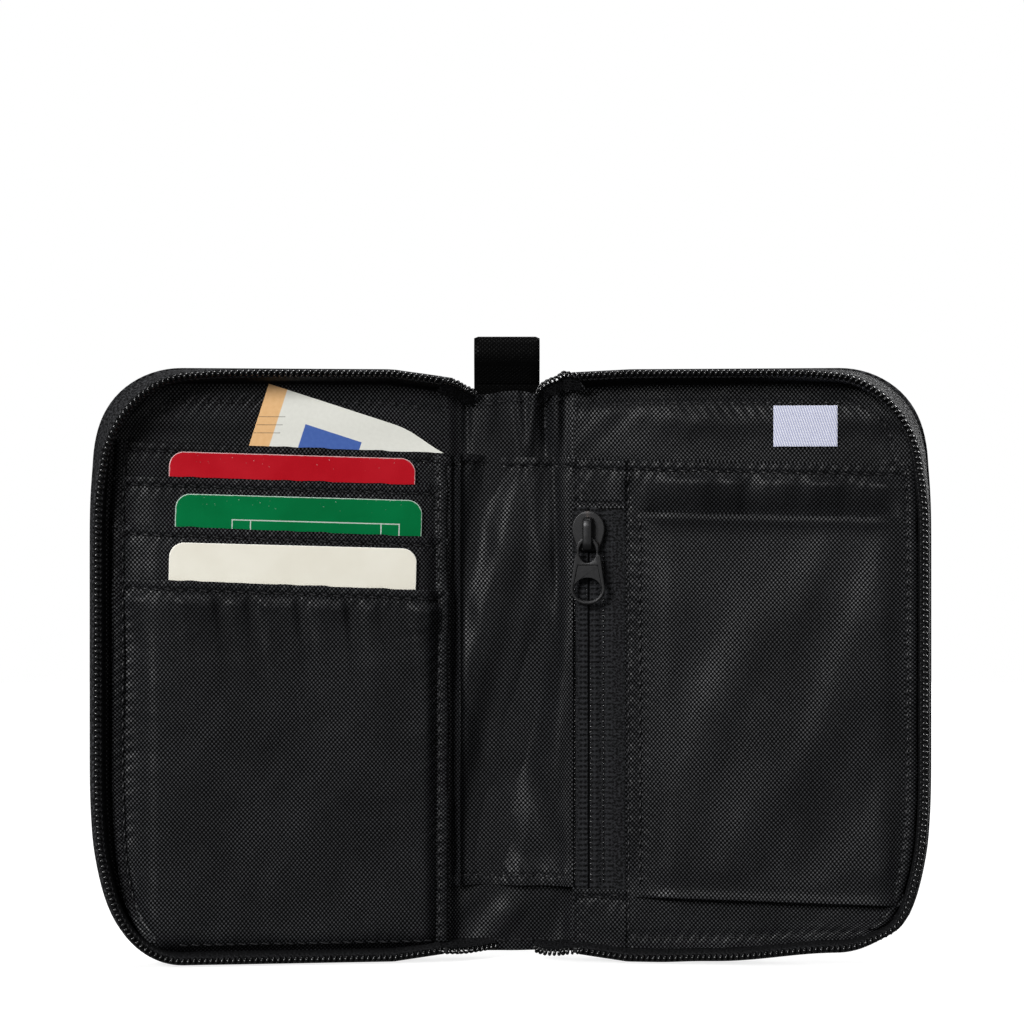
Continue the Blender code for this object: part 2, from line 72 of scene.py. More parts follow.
def spreadPoint(x, d, z):  # x runs flat across the spine and on over both covers
    x, d, z = np.broadcast_arrays(np.asarray(x, float), d, z)
    onSpine = np.stack([x, faceY - d, z], -1)
    onCover = np.where((x < 0)[..., None], coverPoint(-1, -x - foldX, d, z), coverPoint(1, x - foldX, d, z))
    share = smoothStep(foldX - 2.5, foldX + 2.5, abs(x))[..., None]
    return onSpine * (1 - share) + onCover * share


def smoothStep(low, high, value):
    t = np.clip((np.asarray(value, float) - low) / (high - low), 0, 1)
    return t * t * t * (t * (6 * t - 15) + 10)


def hump(value, middle, reach):
    return np.exp(-((np.asarray(value, float) - middle) / reach) ** 2)


def unit(vectors):
    return vectors / np.linalg.norm(vectors, axis=-1, keepdims=True)


def upright(up, tangent):  # up, turned square to a tangent
    return unit(up - (up * tangent).sum(1, keepdims=True) * tangent)


def lengthsOf(path):
    return np.concatenate([[0], np.cumsum(np.linalg.norm(np.diff(path, axis=0), axis=1))])


def along(path, distance, values=None):  # the points, or some values, at distances along a path
    values = path if values is None else np.broadcast_to(np.asarray(values, float), path.shape)
    run = lengthsOf(path)
    return np.stack([np.interp(distance, run, values[:, k]) for k in range(path.shape[1])], -1)


def eased(line, times):  # smooths a line between its ends
    for _ in range(times):
        line[1:-1] = (line[:-2] + line[1:-1] * 2 + line[2:]) / 4
    return line


def softNoise(x, y, seed, cell):  # smooth bumps from -1 to 1, the same on each run
    table = np.random.RandomState(seed).uniform(-1, 1, (64, 64))
    gx, gy = np.asarray(x, float) / cell + 31.3, np.asarray(y, float) / cell + 23.7
    ix, iy = np.floor(gx).astype(int), np.floor(gy).astype(int)
    fx, fy = smoothStep(0, 1, gx - ix), smoothStep(0, 1, gy - iy)
    low = table[ix % 64, iy % 64] * (1 - fx) + table[(ix + 1) % 64, iy % 64] * fx
    high = table[ix % 64, (iy + 1) % 64] * (1 - fx) + table[(ix + 1) % 64, (iy + 1) % 64] * fx
    return low * (1 - fy) + high * fy


def graded(low, high, step, spots=(), fine=0.24, reach=1.5):  # sample places, closer together near some spots
    marks = [low]
    while marks[-1] < high - 0.5 * fine:
        marks.append(marks[-1] + (fine if any(abs(marks[-1] - spot) < reach for spot in spots) else step))
    marks[-1] = high
    return np.array(marks)


def creases(u, z, seed, angle, length, width):  # long soft folds at an angle, in degrees from upright
    a = math.radians(angle)
    across, down = u * math.cos(a) + z * math.sin(a), z * math.cos(a) - u * math.sin(a)
    return softNoise(across, down / (length / width), seed, width)


stitchLook = {"pitch": 2.6, "dip": 0.42, "gather": 0.38, "reach": 1.35}


def pucker(away, run, look=stitchLook):  # the dip and the small gathers that a row of stitches pulls into cloth
    wave = np.cos(2 * math.pi * (run + 0.55 * away) / look["pitch"]) * (0.75 + 0.35 * softNoise(run, away * 0.2, 5, 6.0))
    holes = np.clip(np.cos(2 * math.pi * run / look["pitch"]), 0, 1) ** 3
    fade = np.exp(-np.abs(away) / look["reach"]) * smoothStep(0.1, 0.6, np.abs(away))
    return look["gather"] * wave * fade - look["dip"] * (0.55 + 0.7 * holes) * hump(away, 0, 0.42)


def lobes(away, run, seed, width=3.6, reach=7.0):  # broad folds that hang from a seam, from 0 to 1
    wave = 0.5 + 0.5 * np.clip(2.1 * softNoise(run + 0.12 * away, run * 0 + seed, seed, width), -1, 1)
    return wave * smoothStep(0.2, 3.0, away) * np.exp(-np.maximum(away, 0) / reach)


# mesh making

def makePiece(name, points, faces, uv, material):
    mesh = bpy.data.meshes.new(name)
    mesh.from_pydata((np.asarray(points) * 0.001).tolist(), [], faces)
    if uv is not None:
        corner = np.zeros(len(mesh.loops), int)
        mesh.loops.foreach_get("vertex_index", corner)
        mesh.uv_layers.new(name="cloth").data.foreach_set("uv", np.asarray(uv, float)[corner].ravel())
    mesh.polygons.foreach_set("use_smooth", [True] * len(mesh.polygons))
    mesh.update()
    mesh.set_sharp_from_angle(angle=math.radians(55))
    mesh.materials.append(material)
    piece = bpy.data.objects.new(name, mesh)
    bpy.context.scene.collection.objects.link(piece)
    return piece


def gridFaces(rows, cols, start=0, turned=False, closedCols=False):
    i, j = np.meshgrid(np.arange(rows - 1), np.arange(cols if closedCols else cols - 1), indexing="ij")
    a, b = i * cols + j, i * cols + (j + 1) % cols
    quads = np.stack([a, b, b + cols, a + cols], -1).reshape(-1, 4) + start
    return (quads[:, ::-1] if turned else quads).tolist()


def tubeFaces(rows, cols):  # a closed tube with both its ends
    return gridFaces(rows, cols, 0, False, True) + [tuple(range(cols)), tuple(range((rows - 1) * cols, rows * cols))[::-1]]


def edgeRing(rows, cols):  # the outer points of a grid, in order
    return [*range(cols), *[r * cols + cols - 1 for r in range(1, rows)],
            *[(rows - 1) * cols + c for c in range(cols - 2, -1, -1)], *[r * cols for r in range(rows - 2, 0, -1)]]


def clothSheet(name, front, uv, thick, material, facing):  # a thin closed sheet; facing says which way its face looks
    rows, cols = front.shape[:2]
    normal = np.cross(np.gradient(front, axis=1), np.gradient(front, axis=0)) * facing
    normal /= np.maximum(np.linalg.norm(normal, axis=-1, keepdims=True), 1e-9)
    back = front - normal * thick
    count = rows * cols
    faces = gridFaces(rows, cols, 0, facing < 0) + gridFaces(rows, cols, count, facing > 0)
    ring = edgeRing(rows, cols)
    for a, b in zip(ring, ring[1:] + ring[:1]):
        faces.append((a, a + count, b + count, b) if facing > 0 else (b, b + count, a + count, a))
    return makePiece(name, np.concatenate([front.reshape(-1, 3), back.reshape(-1, 3)]), faces,
                     np.concatenate([uv.reshape(-1, 2)] * 2), material)


threads = {}  # stitches waiting to be made, by the piece that they go into


def sew(group, path, up, pitch=2.6, length=2.0, radius=0.19, slant=0.16, lift=0.1):
    run = lengthsOf(path)[-1]
    count = int(run / pitch)
    middle = (np.arange(count) + 0.5) * run / count
    tangent = unit(along(path, np.minimum(middle + 0.3, run)) - along(path, np.maximum(middle - 0.3, 0)))
    up = upright(along(path, middle, up), tangent)
    aside = np.cross(tangent, up)
    tangent = tangent + aside * slant
    step = np.array([-1, -0.8, -0.4, 0, 0.4, 0.8, 1])
    width = np.array([0.35, 0.75, 1, 1.05, 1, 0.75, 0.35]) * radius
    sink = lift - 0.34 * np.abs(step) ** 3
    turn = np.arange(6) / 6 * 2 * math.pi
    ring = (along(path, middle)[:, None, None] + tangent[:, None, None] * (step * length / 2)[None, :, None, None]
            + up[:, None, None] * (sink[None, :, None] + width[None, :, None] * np.sin(turn)[None, None])[..., None]
            + aside[:, None, None] * (width[None, :, None] * np.cos(turn)[None, None])[..., None])
    per = len(step) * 6
    held = threads.setdefault(group, [[], [], 0])
    held[0].append(ring.reshape(-1, 3))
    stitch = tubeFaces(len(step), 6)
    held[1] += [tuple(v + k * per + held[2] for v in face) for k in range(count) for face in stitch]
    held[2] += count * per


def threadPiece(group, name, material):
    points, faces, _ = threads.pop(group)
    points = np.concatenate(points)
    return makePiece(name, points, faces, points[:, [0, 2]], material)


def coilPiece(name, path, up, look, material):  # one monofilament wound along a path
    up = np.broadcast_to(up, path.shape)
    tangent = unit(np.gradient(path, axis=0))
    up = upright(up, tangent)
    turns = int(lengthsOf(path)[-1] / look["pitch"] * look["steps"])
    angle = np.arange(turns + 1) / look["steps"] * 2 * math.pi
    where = angle / (2 * math.pi) * look["pitch"]
    sideways, upwards = along(path, where, np.cross(tangent, up)), along(path, where, up)
    flat = (np.cos(angle)[:, None] * sideways * look["halfWidth"] + np.sin(angle)[:, None] * upwards * look["halfHeight"])
    line = along(path, where) + flat
    tangent = unit(np.gradient(line, axis=0))
    radial = upright(unit(flat), tangent)
    turn = np.arange(7)[None, :, None] / 7 * 2 * math.pi
    ring = np.cos(turn) * radial[:, None] + np.sin(turn) * np.cross(tangent, radial)[:, None]
    ring = line[:, None] + look["wire"] * ring
    uv = np.repeat(np.stack([where, where * 0], -1), 7, 0)
    return makePiece(name, ring.reshape(-1, 3), tubeFaces(len(line), 7), uv, material)


def settled(piece, body, slotName, *nodes):
    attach(piece, body)
    if nodes:
        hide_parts(*nodes)


def cloth(width, length, area=None):  # works out a cut of at least 10 mm each way and its area; nothing is kept
    area = area or width * length
    wide, long = max(width, 10.0), max(length, 10.0)
    area = None if area > 0.999 * wide * long else max(area, 0.301 * wide * long) / 1e6
    wide / 1000
    long / 1000


# materials

class Wire:  # one socket of a material; a sum on it adds a Math node
    def __init__(self, recipe, socket):
        self.recipe, self.socket = recipe, socket

    def math(self, operation, *others):
        return self.recipe.add("Math", {"operation": operation}, dict(enumerate([self, *others])))

    def flipped(self, operation, other):
        return self.recipe.add("Math", {"operation": operation}, {0: other, 1: self})

    def __add__(self, other): return self.math("ADD", other)
    def __radd__(self, other): return self.flipped("ADD", other)
    def __sub__(self, other): return self.math("SUBTRACT", other)
    def __rsub__(self, other): return self.flipped("SUBTRACT", other)
    def __mul__(self, other): return self.math("MULTIPLY", other)
    def __rmul__(self, other): return self.flipped("MULTIPLY", other)
    def __truediv__(self, other): return self.math("DIVIDE", other)
    def __pow__(self, other): return self.math("POWER", other)

    def ramped(self, low, high, start=0.0, end=1.0):  # a soft step between two values
        kind = {"interpolation_type": "SMOOTHSTEP"}
        return self.recipe.add("MapRange", kind, {0: self, 1: low, 2: high, 3: start, 4: end})


class Recipe:  # one material while it is made
    def __init__(self, name):
        self.material = bpy.data.materials.new(name)
        self.material.use_nodes = True
        self.tree = self.material.node_tree
        self.shader = self.tree.nodes["Principled BSDF"]

    def feed(self, socket, value):
        if isinstance(value, Wire):
            self.tree.links.new(value.socket, socket)
        else:
            socket.default_value = (*value, 1.0) if isinstance(value, tuple) and socket.type == "RGBA" else value

    def add(self, kind, settings=None, inputs=None, output=0):
        node = self.tree.nodes.new("ShaderNode" + kind)
        for key, value in (settings or {}).items():
            setattr(node, key, value)
        for key, value in (inputs or {}).items():
            self.feed(node.inputs[key], value)
        return Wire(self, node.outputs[output])

    def clothXY(self):  # millimetres on the cloth
        flat = self.add("UVMap", {"uv_map": "cloth"})
        return flat, self.add("SeparateXYZ", None, {0: flat}, "X"), self.add("SeparateXYZ", None, {0: flat}, "Y")

    def wave(self, value, pitch, kind="SINE"):
        return (value * (2 * math.pi / pitch)).math(kind)

    def lattice(self, x, z, pitch):
        return self.wave(x, pitch[0]) * self.wave(z, pitch[1])

    def noise(self, vector, scale, detail=2.0, stretch=(1, 1, 1), output="Fac"):
        at = self.add("VectorMath", {"operation": "MULTIPLY"}, {0: vector, 1: stretch})
        return self.add("TexNoise", None, {"Vector": at, "Scale": scale, "Detail": detail}, output)

    def tint(self, share, low, high):
        return self.add("Mix", {"data_type": "RGBA"}, {0: share, 6: low, 7: high}, 2)

    def done(self, colour, roughness, height=None, bump=(0.5, 0.0001), **fixed):
        self.feed(self.shader.inputs["Base Color"], colour)
        self.feed(self.shader.inputs["Roughness"], roughness)
        if height is not None:
            values = {"Strength": bump[0], "Distance": bump[1], "Height": height}
            self.feed(self.shader.inputs["Normal"], self.add("Bump", None, values))
        for key, value in fixed.items():
            self.feed(self.shader.inputs[key.replace("_", " ")], value)
        return self.material


def wovenCloth(name, look):  # plain weave: thread crowns in a diagonal lattice, painted paler as painted sheen
    r = Recipe(name)
    flat, x, z = r.clothXY()
    x = x + r.noise(flat, 0.11, 1.0) * look["drift"]
    z = z + r.noise(flat, 0.09, 1.0, (1, 1.3, 1)) * look["drift"]
    crown = r.lattice(x, z, look["pitch"]).ramped(-0.2, 0.85)
    uneven = r.noise(flat, 1.1, 2.0, (1, 3.0, 1)).ramped(0.25, 0.75)
    cloudy = r.noise(flat, 0.05, 2.0).ramped(0.3, 0.7)
    # painted sheen: share paints the thread crowns paler, with slow cloudy changes, in place of light caught on the
    # black nylon
    share = crown * (0.62 + 0.38 * uneven) * (0.7 + 0.3 * cloudy)
    rough = look["rough"] + 0.4 * (1 - crown)
    return r.done(r.tint(share, look["dark"], look["light"]), rough, crown + 0.25 * uneven, look["bump"],
                  Specular_IOR_Level=look["specular"], Coat_Weight=share * look["gloss"], Coat_Roughness=look["rough"])


def coarseCloth(name, look):  # textured outer fabric: thicker uneven yarns
    r = Recipe(name)
    flat, x, z = r.clothXY()
    x, z = x + r.noise(flat, 0.5, 2.0) * 0.5, z + r.noise(flat, 0.45, 2.0, (1.2, 1, 1)) * 0.5
    lattice = r.lattice(x, z, look["pitch"])
    fuzz = r.noise(flat, 1.6, 3.0, (0.6, 1, 1))
    yarn = (lattice * 0.2 + fuzz * 2.2).ramped(0.8, 1.5)
    wear = r.noise(flat, 0.03, 3.0).ramped(0.35, 0.75)
    tone = r.tint(yarn * (0.75 + 0.35 * wear), look["dark"], look["light"])
    return r.done(tone, 0.62 + 0.15 * (1 - yarn), yarn, look["bump"], Specular_IOR_Level=look["specular"])


toothPitch = 1.15  # of the inner zipper


def tapeCloth(name, look, chains=None):  # knitted tape: ribs crossed by finer ones, and columns of chain stitches
    r = Recipe(name)
    flat, x, z = r.clothXY()
    ribs = r.wave(x, look["rib"])
    knit = (z * (2 * math.pi / look["knit"]) + ribs * 1.4).math("SINE")
    fuzz = r.noise(flat, 1.9, 2.0)
    yarn = (ribs * 0.05 + knit * 0.12 + fuzz * 2.4).ramped(0.85, 1.6)
    if chains:
        away = (x - chains[0]).math("ABSOLUTE")
        beat = r.wave(z, toothPitch, "COSINE").ramped(-0.3, 0.7)
        for at in chains[1:]:
            near = (away - at).math("ABSOLUTE")
            column = (1 - near.ramped(0.1, 0.32)) * beat
            yarn = (yarn + (1 - near.ramped(0.45, 0.75)) * 0.5 * (1 - beat)) * (1 - column * 0.9)
        # painted shade: the tape is darkened to black within 0.3 mm of its middle line, where the coil rows meet in a
        # groove
        yarn = yarn * away.ramped(0.05, 0.3)
    tone = r.tint(yarn, look["dark"], look["light"])
    return r.done(tone, 0.72, yarn, look["bump"], Specular_IOR_Level=look["specular"])


looks = {
    # light: for the woven cloths, the painted sheen colour of the thread crowns
    "lining": {"pitch": (0.87, 0.97), "dark": (0.0006, 0.0006, 0.0007), "light": (0.045, 0.0465, 0.0515), "drift": 0.9,
               "rough": 0.44, "bump": (0.6, 0.0001), "specular": 0.06, "gloss": 0.85},
    "outer": {"pitch": (0.9, 1.0), "dark": (0.002, 0.002, 0.0022), "light": (0.06, 0.061, 0.065), "bump": (0.9, 0.0002),
              "specular": 0.1},
    "tape": {"rib": 0.9, "knit": 0.62, "dark": (0.001, 0.001, 0.0012), "light": (0.0135, 0.0138, 0.015), "bump": (0.6, 0.00012),
             "specular": 0.08},
    "webbing": {"pitch": (1.0, 0.8), "dark": (0.0002, 0.0002, 0.00025), "light": (0.0012, 0.0012, 0.0013), "drift": 0.2,
                "rough": 0.42, "bump": (1.0, 0.00025), "specular": 0.05, "gloss": 0.15},
}
liningCloth = wovenCloth("liningCloth", looks["lining"])
outerCloth = coarseCloth("outerCloth", looks["outer"])
zipTapeCloth = tapeCloth("zipTapeCloth", looks["tape"])
innerTapeLook = {**looks["tape"], "light": (0.019, 0.0195, 0.0215)}
innerTapeCloth = tapeCloth("innerTapeCloth", innerTapeLook, (6.2, 0.75, 1.75, 3.3, 4.6))
webbingCloth = wovenCloth("webbingCloth", looks["webbing"])


def plainFinish(name, scale, look, stretch=(1, 1, 1)):  # a hard or twisted stuff with a fine grain in the solid
    r = Recipe(name)
    at = r.add("TexCoord", None, None, "Object")
    grain = r.noise(at, scale, look["detail"], stretch)
    if "worn" in look:
        grain = grain.ramped(*look["worn"])
    share = r.noise(at, look["rub"], 3.0).ramped(0.62, 0.8) * 0.5 if "rub" in look else grain
    rough = look["rough"][0] + look["rough"][1] * grain if look["rough"][1] else look["rough"][0]
    return r.done(r.tint(share, look["dark"], look["light"]), rough, grain, look["bump"], **look["fixed"])


blackThread = plainFinish("blackThread", 2200.0, {
    "detail": 1.0, "dark": (0.003, 0.003, 0.0034), "light": (0.02, 0.02, 0.022), "rough": (0.45, 0), "bump": (0.4, 0.00005),
    "fixed": {"Specular_IOR_Level": 0.3}})
nylonCoil = plainFinish("nylonCoil", 900.0, {
    "detail": 2.0, "worn": (0.35, 0.7), "dark": (0.0012, 0.0012, 0.0014), "light": (0.004, 0.004, 0.0045), "rough": (0.1, 0.1),
    "bump": (0.1, 0.00002), "fixed": {"Specular_IOR_Level": 0.7}})
paintedZinc = plainFinish("paintedZinc", 1500.0, {
    "detail": 2.0, "rub": 260.0, "dark": (0.018, 0.018, 0.0187), "light": (0.08, 0.062, 0.054), "rough": (0.3, 0.12),
    "bump": (0.1, 0.00003), "fixed": {"Metallic": 0.6, "Specular_IOR_Level": 0.4}})
springSteel = plainFinish("springSteelSheet", 700.0, {
    "detail": 2.0, "dark": (0.26, 0.26, 0.27), "light": (0.4, 0.4, 0.41), "rough": (0.28, 0.1), "bump": (0.1, 0.00002),
    "fixed": {"Metallic": 1.0}}, (1, 1, 0.1))
cardSize, cardCorner = (54.0, 85.6), 3.2


def cardFinish(name, look):  # a printed card: white core at its edges, faint scuffs, ruled lines if it has them
    r = Recipe(name)
    flat, x, z = r.clothXY()
    halfWidth, height = cardSize[0] / 2, cardSize[1]
    blotch = r.noise(flat, 0.08, 3.0).ramped(0.3, 0.75)
    face = r.tint(blotch, look["colour"], look["faded"])
    if "ruled" in look:
        def line(value, at):
            return 1 - (value - at).math("ABSOLUTE").ramped(0.05, 0.17)

        left, right, top, cell = look["ruled"]
        inside = x.math("GREATER_THAN", left - 0.1) * x.math("LESS_THAN", right + 0.1)
        below = z.math("GREATER_THAN", top - 0.1)
        lines = line(z, top) * inside
        for at in (left, left + cell, right - cell, right):
            lines = lines.math("MAXIMUM", line(x, at) * below)
        face = r.tint(lines * 0.8, face, (0.62, 0.68, 0.64))
    # distance from the card's rounded outline
    ax = (x.math("ABSOLUTE") - (halfWidth - cardCorner)).math("MAXIMUM", 0.0)
    az = ((z - height / 2).math("ABSOLUTE") - (height / 2 - cardCorner)).math("MAXIMUM", 0.0)
    out = (ax * ax + az * az).math("SQRT")
    nick = r.noise(flat, 0.9, 2.0) * 0.22
    edge = (out + nick).ramped(cardCorner - 0.14, cardCorner + 0.02)
    speck = r.noise(flat, 1.6, 2.0).ramped(0.70, 0.76) * (1 - z.ramped(0.3, 4.0))  # wear gathers near the top edge
    face = r.tint(edge * look["edge"], face, look["core"])
    face = r.tint(speck * look["speck"], face, look["core"])
    return r.done(face, 0.34 + 0.1 * blotch, blotch, (0.05, 0.00003), Specular_IOR_Level=0.03)


def paperFinish():
    r = Recipe("paperNote")
    flat, x, z = r.clothXY()
    fibre = r.noise(flat, 1.2, 4.0)
    tone = r.tint(fibre, (0.69, 0.69, 0.63), (0.78, 0.78, 0.72))
    band = 1 - x.ramped(4.15, 4.35)
    tone = r.tint(band, tone, r.tint(fibre, (0.72, 0.41, 0.17), (0.83, 0.53, 0.27)))
    block = x.ramped(10.3, 10.4) * (1 - x.ramped(23.3, 23.4)) * z.ramped(5.9, 6.0) * (1 - z.ramped(14.4, 14.5))
    tone = r.tint(block, tone, r.tint(fibre, (0.045, 0.10, 0.35), (0.075, 0.15, 0.44)))
    rules = None
    for at in (7.6, 9.45, 11.3):
        rule = 1 - (z - at + x * 0.32).math("ABSOLUTE").ramped(0.03, 0.11)
        rule = rule * (1 - x.ramped(5.6, 5.7)) * x.ramped(0.1, 0.2)
        rules = rule if rules is None else rules.math("MAXIMUM", rule)
    tone = r.tint(rules * 0.75, tone, (0.05, 0.04, 0.035))
    return r.done(tone, 0.8, fibre, (0.15, 0.00004), Specular_IOR_Level=0.2)


def labelFinish():
    r = Recipe("labelWeave")
    flat, x, z = r.clothXY()
    ribs = r.wave(x + z * 0.35, 0.55).ramped(-0.6, 0.8)
    knit = r.wave(z, 0.34).ramped(-0.7, 0.7)
    tone = r.tint(ribs * (0.6 + 0.4 * knit), (0.42, 0.44, 0.62), (0.86, 0.87, 0.93))
    return r.done(tone, 0.7, ribs + 0.4 * knit, (0.6, 0.00012), Specular_IOR_Level=0.25)


paperNote, labelWeave = paperFinish(), labelFinish()
cardLooks = {
    "upper_card": {"at": (36.6, 111.0), "depth": 5.01, "slot": "red_card", "colour": (0.40, 0.005, 0.012),
                   "faded": (0.46, 0.010, 0.019), "core": (0.72, 0.55, 0.55), "edge": 0.75, "speck": 0.6},
    "middle_card": {"at": (35.3, 101.8), "depth": 6.61, "slot": "green_card", "colour": (0.0006, 0.125, 0.034),
                    "faded": (0.001, 0.155, 0.045), "core": (0.55, 0.66, 0.6), "edge": 0.8, "speck": 0.7,
                    "ruled": (-14.6, 22.0, 5.4, 4.0)},
    "lower_card": {"at": (36.7, 91.2), "depth": 8.21, "slot": "cream_card", "colour": (0.74, 0.71, 0.61),
                   "faded": (0.79, 0.765, 0.67), "core": (0.88, 0.87, 0.82), "edge": 0.6, "speck": 0.15},
}
print("materials made")


# the shape of a cover's rim

def coverDip(u):  # how far the head and the foot draw in beside the fold
    return cover["dip"] * np.clip(1 - u / cover["dipRun"], 0, 2)


def rimPath(start, step, inset=0.0):  # points (u, z) from the foot of the fold, out and round to the top of the fold
    width, height, top, (footU, footZ) = cover["width"], cover["height"], cover["topCorner"], cover["footCorner"]
    foot = np.array([(u, coverDip(u)) for u in np.linspace(start, width - footU, 60)])
    turn = np.linspace(-math.pi / 2, 0, 30)[1:]
    low = np.stack([width - footU + footU * np.cos(turn), footZ + footZ * np.sin(turn)], -1)
    side = np.array([(width, z) for z in np.linspace(footZ, height - top, 60)])[1:]
    turn = np.linspace(0, math.pi / 2, 30)[1:]
    high = np.stack([width - top + top * np.cos(turn), height - top + top * np.sin(turn)], -1)
    head = np.array([(u, height - coverDip(u)) for u in np.linspace(width - top, start, 60)])[1:]
    path = np.concatenate([foot, low, side, high, head])
    run = lengthsOf(path)
    path = along(path, np.linspace(0, run[-1], int(run[-1] / step)))
    tangent = unit(np.gradient(path, axis=0))
    inward = eased(np.stack([-tangent[:, 1], tangent[:, 0]], -1), 3)
    return path + inward * inset, inward


def cornerLean(path):  # how far the rim leans in at the upper corner
    centre = np.array([cover["width"] - 6.0, cover["height"] - 6.0])
    return 2.3 * np.exp(-(np.linalg.norm(path - centre, axis=1) / 15.0) ** 2)


def rimInset(u, z):  # distance in from a cover's edge
    width, height, top, (footU, footZ) = cover["width"], cover["height"], cover["topCorner"], cover["footCorner"]
    dip = coverDip(u)
    plain = np.minimum(np.minimum(height - dip - z, z - dip), width - u)
    du, dz = u - (width - top), z - (height - top)
    upper = top - np.hypot(np.maximum(du, 0), np.maximum(dz, 0))
    eu, ez = np.maximum(u - (width - footU), 0) / footU, np.maximum(footZ - z, 0) / footZ
    lower = (1 - np.hypot(eu, ez)) * footU
    plain = np.where((du > 0) & (dz > 0), upper, plain)
    return np.where((eu > 0) & (ez > 0), lower, plain)


def coverGrid(inset, start, step):  # u and z over a cover, out to an inset from its edge
    width, height, top, (footU, footZ) = cover["width"], cover["height"], cover["topCorner"], cover["footCorner"]
    turn = np.linspace(0, math.pi / 2, 20)
    low = inset + (footZ - inset) * (1 - np.cos(turn))
    high = height - inset - (top - inset) * (1 - np.cos(turn[::-1]))
    middle = np.linspace(low[-1], high[0], int((high[0] - low[-1]) / step))[1:-1]
    level = np.concatenate([low, middle, high])
    reach = np.full_like(level, width - inset)
    foot, head = level < footZ, level > height - top
    fall = np.clip(1 - ((footZ - level[foot]) / (footZ - inset)) ** 2, 0, 1)
    reach[foot] = width - footU + (footU - inset) * np.sqrt(fall)
    fall = np.clip(1 - ((level[head] - height + top) / (top - inset)) ** 2, 0, 1)
    reach[head] = width - top + (top - inset) * np.sqrt(fall)
    u = start + np.linspace(0, 1, int(width / step))[None] * (reach[:, None] - start)
    z = level[:, None] + 0 * u
    return u, z + coverDip(u) * (1 - 2 * (z - inset) / (height - 2 * inset))


def rimStrip(name, side, profile, thick, material, facing):  # a strip that follows the rim
    path, inward = rimPath(4.4, 0.8)
    lean, run = cornerLean(path), lengthsOf(path)
    lines = []
    for inset, depth, share in profile:
        flat = path + inward * (inset + lean * share)[:, None]
        wave = 0.08 * softNoise(run, run * 0 + inset * 9, 41, 5.0)
        lines.append(coverPoint(side, flat[:, 0], depth + wave, flat[:, 1]))
    across = lengthsOf(np.array(profile)[:, :2])
    uv = np.stack(np.meshgrid(across, run), -1)
    return clothSheet(name, np.stack(lines, 1), uv, thick, material, facing), run[-1], across[-1]


coverLook = {
    "crown": 0.7, "edge": ((0.0, 0.25, 0.7, 1.6), (1.15, 0.45, 0.1, 0.0)),  # insets, and how far the edge falls at each
    "topstitch": 2.6, "padFace": 2.45, "lining": 2.95, "hem": 4.6, "headHem": 2.9, "hemStep": 0.3,
    # inset, depth and share of the corner's lean, line by line
    "wall": ((0.6, 0.9, 0.0), (0.25, 2.2, 0.1), (0.2, 4.6, 0.35), (0.25, 7.4, 0.75), (0.35, 9.4, 0.97), (0.4, 10.5, 1.0),
             (0.75, 10.95, 1.0), (1.0, 10.7, 1.0)),
    "tape": ((0.75, 10.75, 1.0), (1.9, 10.6, 1.0), (2.3, 8.6, 0.9), (2.35, 6.4, 0.6), (2.6, 4.4, 0.3), (3.2, 3.35, 0.1)),
    "coil": (1.3, 10.95), "coilThread": (2.15, 10.72),
}
coilLook = {"pitch": 1.22, "steps": 10, "halfWidth": 0.44, "halfHeight": 0.7, "wire": 0.32}
up = {side: coverPoint(side, 0, 1, 0) - coverPoint(side, 0, 0, 0) for side in (-1, 1)}
coverOf = {-1: "front_cover", 1: "back_cover"}


def stitched(side, u, depth, z):  # a row of stitches on a cover
    sew("front" if side < 0 else "back", coverPoint(side, u, depth, z), up[side])


def seamInset(z):  # the lining's hem is deeper along the head
    return coverLook["hem"] + coverLook["headHem"] * smoothStep(98, 114, z)


def liningDepth(side, u, z):
    seed = 70 + side
    seam = rimInset(u, z) - seamInset(z)
    hem = coverLook["hemStep"] * (1 - smoothStep(-0.2, 0.25, seam))
    free = 1.0 if side > 0 else np.maximum(smoothStep(43, 50, u), 0.15)  # the paper keeps the front one flat
    head = 0.55 * hump(z, cover["height"] - 11.5, 2.2) * smoothStep(14, 30, u)
    folds = 0.5 * creases(u, z, seed, 55, 26, 9) + 0.12 * softNoise(u, z, seed + 1, 5.0)
    return coverLook["lining"] + hem + pucker(seam, u - z) + free * (head + folds + 0.45 * lobes(seam, u - z, 7))


